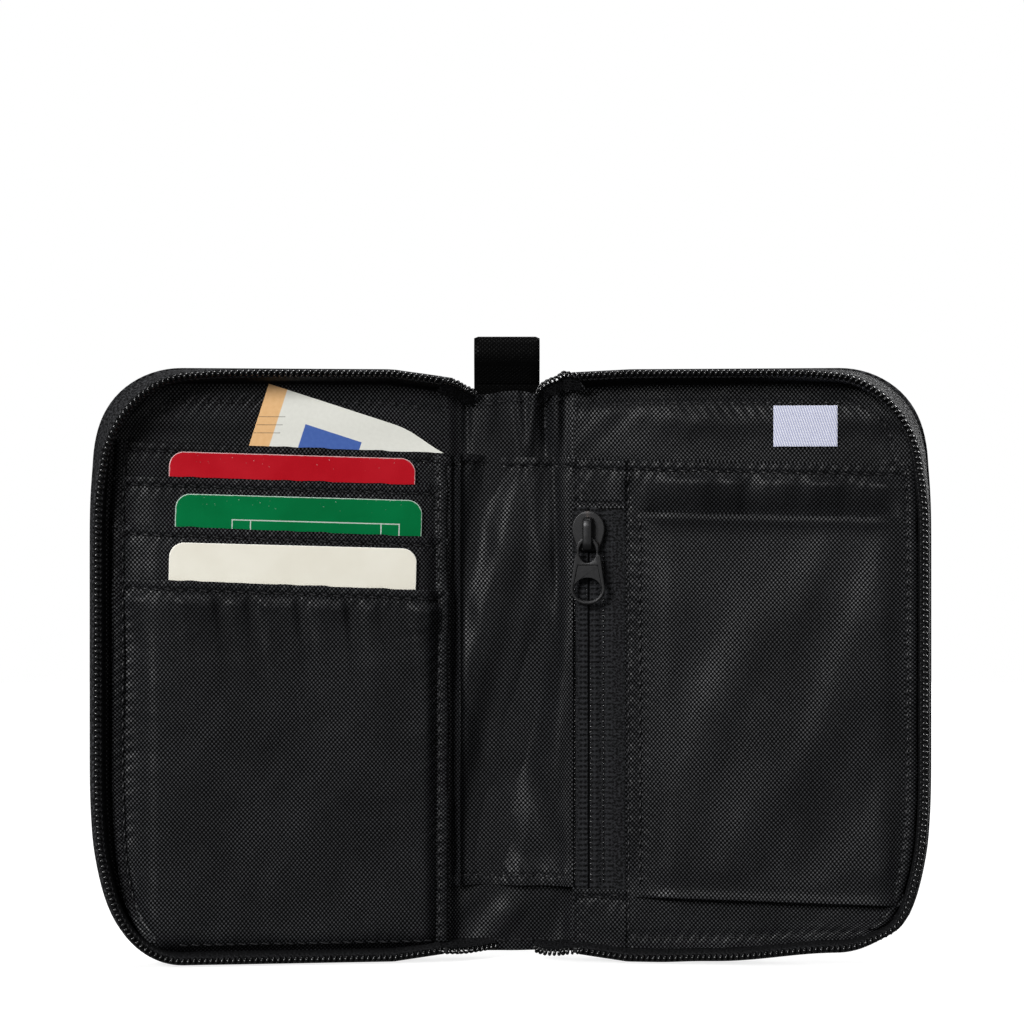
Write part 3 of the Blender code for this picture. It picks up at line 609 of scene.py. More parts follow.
def makeCover(side, name):
    body = coverOf[side]
    # padded outer skin with a rounded edge, closed by its flat inner face
    u, z = coverGrid(0.0, 1.1, 1.6)
    inset = np.minimum(rimInset(u, z), u - 1.1)
    crown = coverLook["crown"] * smoothStep(0, 14, inset) + 0.12 * softNoise(u, z, 61 + side, 14.0)
    rows, cols = u.shape
    count = rows * cols
    outer = np.interp(inset, *coverLook["edge"]) - crown
    skins = [coverPoint(side, u, depth, z).reshape(-1, 3) for depth in (outer, coverLook["padFace"])]
    faces = gridFaces(rows, cols, 0, side > 0) + gridFaces(rows, cols, count, side < 0)
    ring = edgeRing(rows, cols)
    for a, b in zip(ring, ring[1:] + ring[:1]):
        faces.append((a, b, b + count, a + count)[::side])
    flat = np.stack([u, z], -1).reshape(-1, 2)
    pad = makePiece(name + "CoverPad", np.concatenate(skins), faces, np.concatenate([flat, flat]), outerCloth)
    settled(pad, body, "outer_fabric", name + "_shell", name + "_foam")

    # wall, tape and coil round the three free edges
    wall, run, across = rimStrip(name + "SideWall", side, coverLook["wall"], 0.5, outerCloth, -side)
    settled(wall, body, "outer_fabric", name + "_side_wall")
    cloth(across, run)
    tape, run, across = rimStrip(name + "RimTape", side, coverLook["tape"], 0.35, zipTapeCloth, side)
    settled(tape, body, "zip_tape", name + "_main_tape")
    cloth(across, run)
    path, inward = rimPath(4.6, 0.6)

    def rimLine(inset, depth):
        flat = path + inward * (inset + cornerLean(path))[:, None]
        return coverPoint(side, flat[:, 0], depth, flat[:, 1])

    coil = coilPiece(name + "RimCoil", rimLine(*coverLook["coil"]), up[side], coilLook, nylonCoil)
    settled(coil, body, "zip_coil", name + "_main_coil")
    sew(name, rimLine(*coverLook["coilThread"]), up[side], coilLook["pitch"], 0.95, 0.1, 0.5)
    # topstitching round the outer face
    flat, _ = rimPath(3.4, 0.8, coverLook["topstitch"])
    inset = coverLook["topstitch"]
    depth = np.interp(inset, *coverLook["edge"]) - coverLook["crown"] * smoothStep(0, 14, inset)
    sew(name, coverPoint(side, flat[:, 0], depth - 0.1, flat[:, 1]), -up[side])

    # lining with its turned hem
    u, z = coverGrid(2.2, 2.4, 0.55)
    front = coverPoint(side, u, liningDepth(side, u, z), z)
    lining = clothSheet(name + "Lining", front, np.stack([u, z], -1), 0.35, liningCloth, side)
    settled(lining, body, "lining_fabric", name + "_lining")
    cloth(76.2, 125.6, 76.2 * 125.6 * 0.965)
    path, inward = rimPath(7.0, 0.8)
    u, z = (path + inward * seamInset(path[:, 1])[:, None]).T
    stitched(side, u, liningDepth(side, u, z) + 0.08, z)


makeCover(-1, "front")
makeCover(1, "back")
print("covers made")


# pocket panels

def mouthEdge(shape, u):  # height of a panel's mouth, which slopes from the fold to the edge and waves a little
    u0, u1, _, topFold, topEdge = shape[:5]
    return topFold + (topEdge - topFold) * (u - u0) / (u1 - u0) + 0.12 * softNoise(u, u * 0, 13, 2.6)


def panelGrid(shape, seams, step=0.62):
    u0, u1, base, topFold, topEdge, cornerU, cornerZ = shape
    top = max(topFold, topEdge)
    low = base + cornerZ * (1 - np.cos(np.linspace(0, math.pi / 2, 18))) if cornerZ else np.array([base])
    rest = graded(low[-1], top, step, (top - 2.4, *seams[1]))[1:]
    level = np.concatenate([low, rest[:-1], [top - 0.32, top - 0.1, top]])
    drop = np.concatenate([np.zeros(len(level) - 3), [0.0, 0.12, 0.34]])
    reach = np.full_like(level, u1)
    if cornerZ:
        foot = level < base + cornerZ
        reach[foot] = u1 - cornerU * (1 - np.sqrt(np.clip(1 - ((base + cornerZ - level[foot]) / cornerZ) ** 2, 0, 1)))
    share = (graded(u0, u1, step, seams[0]) - u0) / (u1 - u0)
    u = u0 + share[None] * (reach[:, None] - u0)
    edge = mouthEdge(shape, u)
    z = base + (level[:, None] - base) / (top - base) * (edge - base)
    return u, z, edge, drop[:, None]


hemLook = {"deep": 2.0, "step": 0.36}


def hemRelief(u, z, edge, seed, side, lobe):  # the turned band at a pocket's mouth
    seam = edge - z - hemLook["deep"]
    step = hemLook["step"] * (1 - smoothStep(-0.15, 0.3, seam))
    return step + pucker(seam, u * side) + 0.1 * softNoise(u, z, seed, 4.0) + lobe * lobes(seam, u, seed)


def makePanel(name, side, node, shape, depthAt, seed, folds, seams=((), ()), lobe=0.2, sewn=True):
    def depth(u, z, edge):
        amount, angle, length, width = folds
        relief = hemRelief(u, z, edge, seed, side, lobe)
        return depthAt(u, z) + relief + amount * np.maximum(creases(u, z, seed, angle, length, width), -0.35)

    u, z, edge, drop = panelGrid(shape, seams)
    front = coverPoint(side, u, depth(u, z, edge) - drop, z)
    piece = clothSheet(name, front, np.stack([u, z], -1), 0.34, liningCloth, side)
    settled(piece, coverOf[side], "lining_fabric", node)
    u0, u1, base, topFold, topEdge, cornerU, cornerZ = shape
    width, height = u1 - u0, max(topFold, topEdge) - base
    cloth(width, height, min(width * (topFold + topEdge - 2 * base) / 2 - 0.215 * cornerU * cornerZ, width * height))
    if sewn:
        run = np.linspace(u0 + 1.0, u1 - 1.0, 90)
        edge = mouthEdge(shape, run)
        level = edge - hemLook["deep"]
        stitched(side, run, depth(run, level, edge) + 0.08, level)
    return depth


def cornerShift(z, base, cornerU, cornerZ):  # how far a rounded lower corner draws a side in
    return cornerU * (1 - np.sqrt(np.clip(1 - np.clip((base + cornerZ - z) / cornerZ, 0, 1) ** 2, 0, 1)))


blockLook = {"inner": 4.9, "outer": 73.4, "foot": 4.5, "corner": (2.2, 15.0, 24.8), "across": (2.6, 76.1)}
# node, foot, mouth at the fold and at the edge, lower corner, depth, swell over the cards, folds
slotLooks = {
    "frontSlipPocket": ("front_slip_panel", 4.0, (111.5, 114.2), (15.0, 23.0), 3.9, 0.1, (0.12, 20, 30, 9)),
    "cardSlotBack": ("card_slot_back", 24.0, (104.3, 106.7), (0.0, 0.0), 4.55, 1.1, (0.1, 20, 30, 9)),
    "cardSlotMiddle": ("card_slot_middle", 15.0, (92.9, 96.0), (4.0, 12.0), 5.2, 2.05, (0.1, 20, 30, 9)),
    "cardSlotFront": ("card_slot_front", 2.2, (81.2, 84.3), (15.0, 24.8), 5.9, 3.05, (0.5, 24, 40, 11)),
}


def blockSeams(u, z):  # the pull of the stitching at both sides and the foot of the block
    side = blockLook["outer"] - cornerShift(z, *blockLook["corner"])
    inner = pucker(u - blockLook["inner"], z) + 0.5 * lobes(u - blockLook["inner"], z, 15, 4.5)
    outer = pucker(u - side, z) + 0.5 * lobes(side - u, z, 16, 4.5)
    foot = pucker(z - blockLook["foot"], -u) + 0.5 * lobes(z - blockLook["foot"], u, 17, 4.0, 4.0)
    return inner + outer + foot


def slotDepth(name, u, z):
    depth, swell = slotLooks[name][4:6]
    bulge = smoothStep(3.0, 8.8, u) * (1 - smoothStep(65.5, 73.0, u))
    if name != "cardSlotFront":
        return depth + swell * bulge
    return depth + swell * bulge * smoothStep(2.2, 5.2, z) + blockSeams(u, z)


blockSides = (blockLook["inner"], blockLook["outer"])
for number, (name, (node, base, mouth, corner, _, _, folds)) in enumerate(slotLooks.items()):
    lastDepth = makePanel(name, -1, node, (*blockLook["across"], base, *mouth, *corner),
                          lambda u, z, name=name: slotDepth(name, u, z), 20 + number * 3, folds,
                          (blockSides, (blockLook["foot"],)), 2.2 if name == "cardSlotFront" else 0.2)


def frontBlockTop(u, z):  # depth of whichever slot panel is outermost at a height, near the block's sides
    depth = np.zeros_like(z)
    low, high = blockLook["across"]
    for name, (_, _, (atFold, atEdge), *_) in slotLooks.items():
        edge = atFold + (atEdge - atFold) * (u - low) / (high - low)
        depth = np.where(z < edge, slotDepth(name, u, np.maximum(z, 8.0)), depth)
    return depth


bindingLooks = {  # side, node, middle, width, foot, head, stitch line, lower corner, seed
    "frontInnerBinding": (-1, "front_inner_binding", 4.0, 2.9, 4.2, 111.4, 4.7, None, 51),
    "frontOuterBinding": (-1, "front_outer_binding", 74.7, 2.9, 5.2, 114.1, 73.8, blockLook["corner"], 52),
    "backOuterBinding": (1, "back_outer_binding", 76.6, 2.7, 7.0, 108.0, 75.7, (4.0, 16.0, 25.0), 53),
}


def makeBinding(name, depthAt):  # a folded strip sewn over raw edges
    side, node, middle, width, low, high, sewAt, corner, seed = bindingLooks[name]
    level = np.linspace(low, high, int((high - low) / 0.4))
    share = np.linspace(-1, 1, 15)
    shift = 0 * level if corner is None else cornerShift(level, *corner)
    centre = middle - shift + 0.16 * softNoise(level, level * 0, seed, 7.0)
    spread = width / 2 * (1 + 0.05 * softNoise(level, level * 0 + 5, seed, 4.0))
    u = centre[:, None] + share[None] * spread[:, None]
    base = np.convolve(np.pad(depthAt(middle - shift, level), 6, mode="edge"), np.ones(13) / 13, "valid")
    z = level[:, None] + 0 * u
    arch = 0.7 * np.sqrt(np.clip(1 - share ** 2, 0, 1))
    depth = base[:, None] + arch[None] + 0.5 * pucker(u - (sewAt - shift[:, None]), z) + 0.05
    piece = clothSheet(name, coverPoint(side, u, depth, z), np.stack([z, u], -1), 0.3, liningCloth, side)
    settled(piece, coverOf[side], "lining_fabric", node)
    cloth(width * 1.15, high - low)
    stitched(side, sewAt - shift, base + 0.7 * math.sqrt(max(0, 1 - ((sewAt - middle) / (width / 2)) ** 2)), level)


makeBinding("frontInnerBinding", frontBlockTop)
makeBinding("frontOuterBinding", frontBlockTop)
foot = np.linspace(6.0, 62.0, 90)
level = blockLook["foot"] + 0 * foot
stitched(-1, foot, lastDepth(foot, level, 84 + level * 0) + 0.12, level)
print("card block made")


# cards and paper

def turned(flat, angle):
    c, s = math.cos(angle), math.sin(angle)
    return np.stack([flat[:, 0] * c - flat[:, 1] * s, flat[:, 0] * s + flat[:, 1] * c], -1)


def makeCard(name, look):
    half, height = cardSize[0] / 2 - cardCorner, cardSize[1]
    outline = []
    high, low = -cardCorner, cardCorner - height
    for number, centre in enumerate(((half, high), (-half, high), (-half, low), (half, low))):
        for turn in np.radians(np.linspace(number * 90, number * 90 + 90, 12)):
            outline.append((centre[0] + cardCorner * math.cos(turn), centre[1] + cardCorner * math.sin(turn)))
    outline = np.array(outline)
    middle = np.array([0.0, -height / 2])
    points, uv = [], []
    for scale, drop in ((0.995, 0.0), (1.0, 0.04), (1.0, 0.72), (0.995, 0.76)):  # its front and back edges are eased
        flat = middle + (outline - middle) * scale
        place = turned(flat, math.radians(1.6)) + look["at"]
        points.append(coverPoint(-1, place[:, 0], look["depth"] - drop, place[:, 1]))
        uv.append(-flat)
    count, finish = len(outline), cardFinish(name.replace("_card", "Card"), look)
    faces = gridFaces(4, count, 0, False, True) + [tuple(range(count))[::-1], tuple(range(3 * count, 4 * count))]
    piece = makePiece(name.replace("_card", "CardPrinted"), np.concatenate(points), faces, np.concatenate(uv), finish)
    piece.modifiers.new("flatFaces", "WEIGHTED_NORMAL")
    settled(piece, name + "_body", look["slot"], name)


for cardName, cardLook in cardLooks.items():
    makeCard(cardName, cardLook)

paperLook = {"corner": (41.9, 126.6), "size": (41.0, 70.0), "tilt": 17.7, "depth": 3.62, "droop": 3.0}


def makePaper():
    width, length = paperLook["size"]
    across, down = np.meshgrid(np.linspace(0, width, 40), np.linspace(0, length, 60), indexing="xy")
    tilt = math.radians(paperLook["tilt"])
    u = paperLook["corner"][0] - across * math.cos(tilt) + down * math.sin(tilt)
    z = paperLook["corner"][1] - across * math.sin(tilt) - down * math.cos(tilt)
    z = z - paperLook["droop"] * (1 - smoothStep(0, 15, u))  # at its far corner
    depth = paperLook["depth"] + 0.45 * smoothStep(112, 120, z) + 0.12 * softNoise(across, down, 8, 12.0)
    piece = clothSheet("paperNotePiece", coverPoint(-1, u, depth, z), np.stack([across, down], -1), 0.12, paperNote, 1)
    settled(piece, "paper_body", "paper", "paper_slip")
    cloth(width, length)


makePaper()
print("cards and paper made")


# back cover's pockets

zipLook = {"centre": 6.2, "low": 16.1, "high": 99.0, "seam": 14.9, "foot": 5.2, "tabs": (3.6, 13.4), "topSeam": 100.4,
           "lowSeam": 14.2}


def zipFaceDepth(u, z):
    seams = pucker(u - zipLook["seam"], z) + pucker(z - zipLook["foot"], u)
    # sunk behind the gusseted pocket's mouth
    sunk = 2.2 * hump(z, 97.0, 4.6) * smoothStep(17, 22, u) * (1 - smoothStep(69, 75, u))
    return 6.45 + seams - sunk - 0.6 * smoothStep(73, 77.6, u)


def topTabFace(u, z):
    return 6.5 + pucker(z - zipLook["topSeam"], u) + 0.35 * smoothStep(13.0, 14.2, u) + pucker(u - zipLook["tabs"][0], z)


def lowTabFace(u, z):
    return 6.5 + pucker(z - zipLook["lowSeam"], u) + pucker(u - zipLook["tabs"][0], z)


makePanel("backSlipPocket", 1, "back_slip_panel", (2.6, 77.6, 3.0, 110.0, 108.3, 16.0, 25.0),
          lambda u, z: 3.6 + 0 * u, 91, (0.1, 20, 30, 9), sewn=False)
zipPanelDepth = makePanel("zipPocketFace", 1, "zip_pocket_panel", (14.2, 77.6, 2.8, 109.95, 108.5, 16.0, 25.0),
                          zipFaceDepth, 93, (0.6, 15, 24, 8), ((zipLook["seam"],), (zipLook["foot"],)), 2.7)
topTabDepth = makePanel("zipTopTab", 1, "zip_top_tab", (2.6, 14.3, 99.3, 110.2, 109.95, 0.0, 0.0), topTabFace, 94,
                        (0.2, 10, 14, 5), (zipLook["tabs"], (zipLook["topSeam"],)))
lowTabDepth = makePanel("zipBottomTab", 1, "zip_bottom_tab", (2.6, 14.3, 3.0, 15.9, 15.6, 0.0, 0.0), lowTabFace, 95,
                        (0.25, 40, 10, 4), (zipLook["tabs"], (zipLook["lowSeam"],)), sewn=False)
level = np.linspace(6.0, 107.0, 120)
seam = zipLook["seam"] + 0 * level
stitched(1, seam + 0.1 * softNoise(level, level * 0, 3, 9.0), zipPanelDepth(seam, level, 110 + 0 * level) + 0.08, level)
reach = np.linspace(*zipLook["tabs"], 12)
level = zipLook["topSeam"] + 0 * reach
stitched(1, reach, topTabDepth(reach, level, 110 + 0 * reach) + 0.08, level)
level = zipLook["lowSeam"] + 0 * reach
stitched(1, reach, lowTabDepth(reach, level, 15.8 + 0 * reach) + 0.25, level - 0.2 + 0.9 * ((reach - 8.5) / 5) ** 2)
foot = np.linspace(15.5, 62.0, 60)
level = zipLook["foot"] + 0 * foot
stitched(1, foot, zipPanelDepth(foot, level, 110 + 0 * foot) + 0.08, level)


def makeInnerTape(name, node, coilNode, sign, fromU, toU):
    level = np.linspace(zipLook["low"] - 0.6, zipLook["high"] + 0.6, 420)
    u = np.linspace(fromU, toU, 34)[None] + 0 * level[:, None]
    z = level[:, None] + 0 * u
    away = np.abs(u - zipLook["centre"])
    beat = 2 * math.pi * z / toothPitch
    teeth = np.cos(beat + (0 if sign > 0 else math.pi))
    coilRows = 0.42 * (1 - smoothStep(1.7, 2.5, away)) - 0.4 * (1 - smoothStep(0.0, 0.4, away))
    coilTeeth = 0.11 * teeth * hump(away, 0.75, 0.4) + 0.07 * teeth * hump(away, 1.6, 0.35)
    chain = 0.09 * np.cos(beat) * hump(away, 3.15, 0.32) - 0.12 * hump(away, 3.15, 0.3)
    depth = 6.15 + coilRows + coilTeeth + chain + 0.1 * creases(u, z, 97, 0, 30, 4)
    piece = clothSheet(name, coverPoint(1, u, depth, z), np.stack([u, z], -1), 0.3, innerTapeCloth, 1)
    settled(piece, "back_cover", "zip_tape", node, coilNode)
    cloth(abs(toU - fromU), level[-1] - level[0])
    beads = np.linspace(zipLook["low"] + 1.0, zipLook["high"] - 10, 300)
    for off, radius, depth in ((0.42, 0.17, 6.32), (3.15, 0.12, 6.16)):
        line = coverPoint(1, zipLook["centre"] + sign * off, depth, beads)
        sew("backZip", line, up[1], toothPitch, 0.85, radius, 0.0, 0.12)


makeInnerTape("innerTapeFoldSide", "inner_tape_fold_side", "inner_coil_fold_side", -1, 2.6, zipLook["centre"] - 0.02)
makeInnerTape("innerTapeEdgeSide", "inner_tape_edge_side", "inner_coil_edge_side", 1, zipLook["centre"] + 0.02, 14.4)

gussetLook = {
    "left": 16.6, "right": 75.6, "low": 14.0, "top": (98.5, 97.3), "seat": 6.75, "proud": 8.5, "seam": 0.9,
    # height and depth over the seat
    "foot": ((0.9, 0.0), (0.25, 0.5), (0.0, 1.3), (0.1, 1.9), (0.45, 2.3), (1.1, 1.85)),
}


def makeGussetPocket():
    left, right, low, seat = (gussetLook[key] for key in ("left", "right", "low", "seat"))
    share = np.linspace(0, 1, 78)
    u = left + share * (right - left)
    near, far = gussetLook["top"]
    edge = near + (far - near) * share + 0.12 * softNoise(u, u * 0, 17, 4.0)
    sides = smoothStep(-1.5, 9.0, u - left) * smoothStep(-1.0, 7.0, right - u)
    rows = [(low + height - 1.2 * share, seat + out * sides) for height, out in gussetLook["foot"]]
    for t in np.linspace(0.02, 1, 106):
        z = low + 1.1 - 1.2 * share * (1 - t) + t * (edge - low - 1.1)
        sag = (0.5 * smoothStep(0.7, 0.93, t) - 0.6 * smoothStep(0.94, 1.0, t)) * sides
        rows.append((z, seat + (gussetLook["proud"] - seat - sag) * sides))
    z, depth = np.array([r[0] for r in rows]), np.array([r[1] for r in rows])
    u = u[None] + 0 * z
    folds = 0.7 * creases(u, z, 33, -38, 60, 15) + 0.35 * creases(u, z, 34, -20, 30, 8)
    depth = depth + folds * sides * smoothStep(low + 1, low + 8, z) + 0.8 * pucker(u - left - gussetLook["seam"], z)
    down = edge[None] - z
    depth = depth + 0.2 * (1 - smoothStep(1.6, 2.1, down)) * sides - 0.34 * (1 - smoothStep(0.0, 0.2, down))
    piece = clothSheet("gussetPocket", coverPoint(1, u, depth, z), np.stack([u, z], -1), 0.34, liningCloth, 1)
    settled(piece, "back_cover", "lining_fabric", "gusset_pocket_face", "gusset_pocket_wall")
    cloth(right - left + 2.0, gussetLook["top"][0] - low + 2.5)
    stitched(1, left + gussetLook["seam"], seat + 0.35, np.linspace(16.5, 97.0, 100))


makeGussetPocket()
makeBinding("backOuterBinding", lambda u, z: 6.55 + 0 * z)
labelLook = {"across": (46.5, 60.5), "up": (112.8, 121.8), "depth": 3.4}


def makeLabel():
    (left, right), (low, high) = labelLook["across"], labelLook["up"]
    u, z = np.meshgrid(np.linspace(left, right, 36), np.linspace(low, high, 24), indexing="xy")
    inside = np.minimum(np.minimum(u - left, right - u), np.minimum(z - low, high - z))
    relief = 0.22 * smoothStep(0, 0.35, inside) - 0.12 * hump(inside, 0.8, 0.25) + 0.06 * softNoise(u, z, 12, 3.0)
    front = coverPoint(1, u, labelLook["depth"] + relief, z)
    piece = clothSheet("labelPatch", front, np.stack([u, z], -1), 0.3, labelWeave, 1)
    settled(piece, "back_cover", "woven_label", "woven_label")
    cloth(right - left, high - low)


makeLabel()
print("zip pocket made")


# spine, bridge and the ends of the coils

words = {-1: "Left", 1: "Right"}


def acrossFold(piece, side):  # bakes the piece's transform into its points
    side * (foldX - 3.0) / 1000
    faceY / 1000
    side * (foldX + 1.5) / 1000
    faceY / 1000
    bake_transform(piece)


def halfSheets(name, xReach, level, depthAt, topAt, material, thick, nodes, facing=1):
    for side, reach in zip((-1, 1), xReach):
        x = side * graded(0, abs(reach), 0.45, (11.4, 12.9), 0.2, 0.9)[None] + 0 * level[:, None]
        share = (level[:, None] - level[0]) / (level[-1] - level[0])
        z = level[0] + share * (topAt(x) - level[0])
        front = spreadPoint(x, depthAt(x, z), z)
        piece = clothSheet(name + words[side], front, np.stack([x, z], -1), thick, material, side * facing)
        if side < 0:
            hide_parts(*nodes)
        acrossFold(piece, side)
        cloth(abs(reach), level[-1] - level[0])


def sewAcross(xReach, levelAt, depthAt):
    for side, reach in zip((-1, 1), xReach):
        x = np.linspace(0.4 * side, reach, 30)
        z = levelAt(x)
        sew("bridge" + words[side], spreadPoint(x, depthAt(x, z) + 0.08, z), (0, -1, 0))


def spineTop(x):
    return 124.9 + 0.35 * np.cos(x * 0.45) + 1.6 * smoothStep(9, 15, np.abs(x)) + 0.25 * softNoise(x, x * 0, 19, 4.0)


spineFolds = (  # height, place, lean to the left per mm down, width, and the levels it grows between
    (2.6, 10.2, 0, 1.5, 104, 122), (-2.4, 7.7, 0, 0.9, 106, 121), (1.3, 5.2, 0.1, 1.1, 104, 120),
    (0.9, 1.4, -0.12, 0.8, 106, 120), (1.1, -4.6, 0, 2.0, 112, 124), (-1.2, -9.7, 0, 0.8, 104, 122))


def spineLiningDepth(x, z):
    pull = sum(height * hump(x, place - lean * (124 - z), width) * smoothStep(low, high, z)
               for height, place, lean, width, low, high in spineFolds)
    foot = (0.75 * creases(x, z, 44, -35, 22, 5) + 0.9 * hump(x, 0.5, 4.5)) * (1 - smoothStep(9, 17, z))
    hem = 0.25 * (1 - smoothStep(1.9, 2.4, spineTop(x) - z))
    return 1.9 + hem + pull + foot + 0.25 * creases(x, z, 45, 10, 30, 6) + 1.2 * smoothStep(10, 15, np.abs(x))


def spineSkinDepth(x, z):
    return 0.1 + 0.35 * hump(np.abs(x), foldX, 1.1) + 0.08 * softNoise(x, z, 49, 9.0)


bridgeLook = {"low": 16.2, "hem": 2.0, "step": (0.45, 0.5), "piping": (1.3, -11.3, -12.8)}


def bridgeTop(x):
    return 110.7 + 0.7 * hump(x, -9, 4) + 0.2 * softNoise(x, x * 0, 29, 3.0)


def bridgeDepth(x, z):
    side = 3.6 * smoothStep(3.0, 14.2, x) + 1.3 * smoothStep(3.0, 13.5, -x)
    folds = 1.9 * creases(x, z, 46, -14, 60, 7) + 0.7 * creases(x, z, 47, 22, 24, 5)
    folds = folds + 0.9 * hump(x, 5.4 + 0.02 * (110 - z), 1.6) * smoothStep(70, 104, z)
    folds = folds - 1.0 * hump(x, 9.6 + 0.025 * (110 - z), 1.1) * smoothStep(60, 95, z)
    down, rise = bridgeTop(x) - z, z - bridgeLook["low"]
    headStep, footStep = bridgeLook["step"]
    hem = headStep * (1 - smoothStep(1.7, 2.2, down)) + footStep * (1 - smoothStep(1.8, 2.3, rise))
    proud, ridge, groove = bridgeLook["piping"]
    piping = proud * hump(x, ridge, 0.5) - proud * hump(x, groove, 0.6)
    seams = pucker(down - bridgeLook["hem"], x) + pucker(rise - bridgeLook["hem"], x)
    return (3.1 + 0.7 * (1 - smoothStep(16, 24, z)) + side + folds * (1 - 0.6 * smoothStep(9, 14, np.abs(x)))
            + hem + piping + seams)


halfSheets("spineSkin", (-14.2, 14.2), np.linspace(1.7, 126.0, 110), spineSkinDepth, lambda x: 125.6 + 0 * x,
           outerCloth, -0.5, ("spine_shell", "spine_stiffener"), -1)
halfSheets("spineLining", (-15.2, 15.2), np.linspace(1.6, 126.0, 170), spineLiningDepth, spineTop,
           liningCloth, 0.3, ("spine_lining",))
halfSheets("bridgePanel", (-15.6, 14.7), graded(bridgeLook["low"], 110.6, 0.62, (18.2, 108.5)), bridgeDepth, bridgeTop,
           liningCloth, 0.3, ("bridge_panel",))
sewAcross((-13.0, 14.2), lambda x: bridgeTop(x) - bridgeLook["hem"], bridgeDepth)
sewAcross((-12.0, 12.0), lambda x: bridgeLook["low"] + bridgeLook["hem"] + 0 * x, bridgeDepth)
sewAcross((-14.0, 14.0), lambda x: spineTop(x) - 2.2, spineLiningDepth)
sewAcross((-14.0, 14.0), lambda x: 3.9 + 0 * x, spineLiningDepth)
for side, word in words.items():
    acrossFold(threadPiece("bridge" + word, "spineStitches" + word, blackThread), side)

coilEnds = {  # out from the middle, depth, height
    "TopLeft": ((16.7, 10.95, 127.3), (15.2, 10.5, 127.2), (12.0, 8.8, 126.5), (9.2, 6.6, 125.4), (7.9, 4.8, 124.6)),
    "TopRight": ((16.7, 10.95, 127.3), (14.6, 10.4, 127.3), (11.5, 9.2, 128.0), (8.6, 7.4, 127.2), (6.6, 5.6, 126.0),
                 (6.0, 4.4, 124.6)),
    "FootLeft": ((16.7, 10.95, 2.65), (14.0, 10.2, 2.5), (10.0, 8.4, 2.3), (6.4, 6.2, 2.6), (3.4, 4.0, 2.9)),
    "FootRight": ((16.7, 10.95, 2.65), (14.0, 10.2, 2.4), (10.6, 8.6, 1.9), (7.6, 6.6, 1.7), (5.4, 4.2, 2.2)),
}


def makeCoilEnd(name, stops):  # the loose end of a coil and its tape, which drop behind the spine's lining
    side, atTop = (-1 if "Left" in name else 1), "Top" in name
    stops = np.array(stops)
    x, depth, z = eased(along(stops, np.linspace(0, lengthsOf(stops)[-1], 40)), 6).T
    path = spreadPoint(side * x, depth, z)
    lean = (0.0, -1.0, 0.35 if atTop else -0.35)
    acrossFold(coilPiece("coilEnd" + name, path, lean, coilLook, nylonCoil), side)
    share = np.linspace(0, 1, 8)[None]
    x, depth, z = x[:, None], depth[:, None], z[:, None]
    if atTop:
        drop, rise, width = 3.0, -2.6, 4.2
    else:  # the foot tapes close down on the lining
        drop, rise, width = np.maximum(depth - 2.4, 1.6), 1.3, 5.4
    inner = spreadPoint(side * x, depth - 0.4 - drop * share, z + (-0.3 if atTop else 0.3) + rise * share)
    run = lengthsOf(path)
    uv = np.stack(np.meshgrid(share[0] * 4, run), -1)
    tape = clothSheet("tapeEnd" + name, inner, uv, 0.3, zipTapeCloth, side if atTop else -side)
    cloth(width, run[-1])
    acrossFold(tape, side)


for name, stops in coilEnds.items():
    makeCoilEnd(name, stops)
print("spine made")


# webbing loop

loopLook = {"centre": -0.8, "width": 14.5, "depth": (-2.5, 4.3), "foot": 127.0, "height": 10.4, "thick": 1.2,
            "sewn": (116.6, 127.5)}


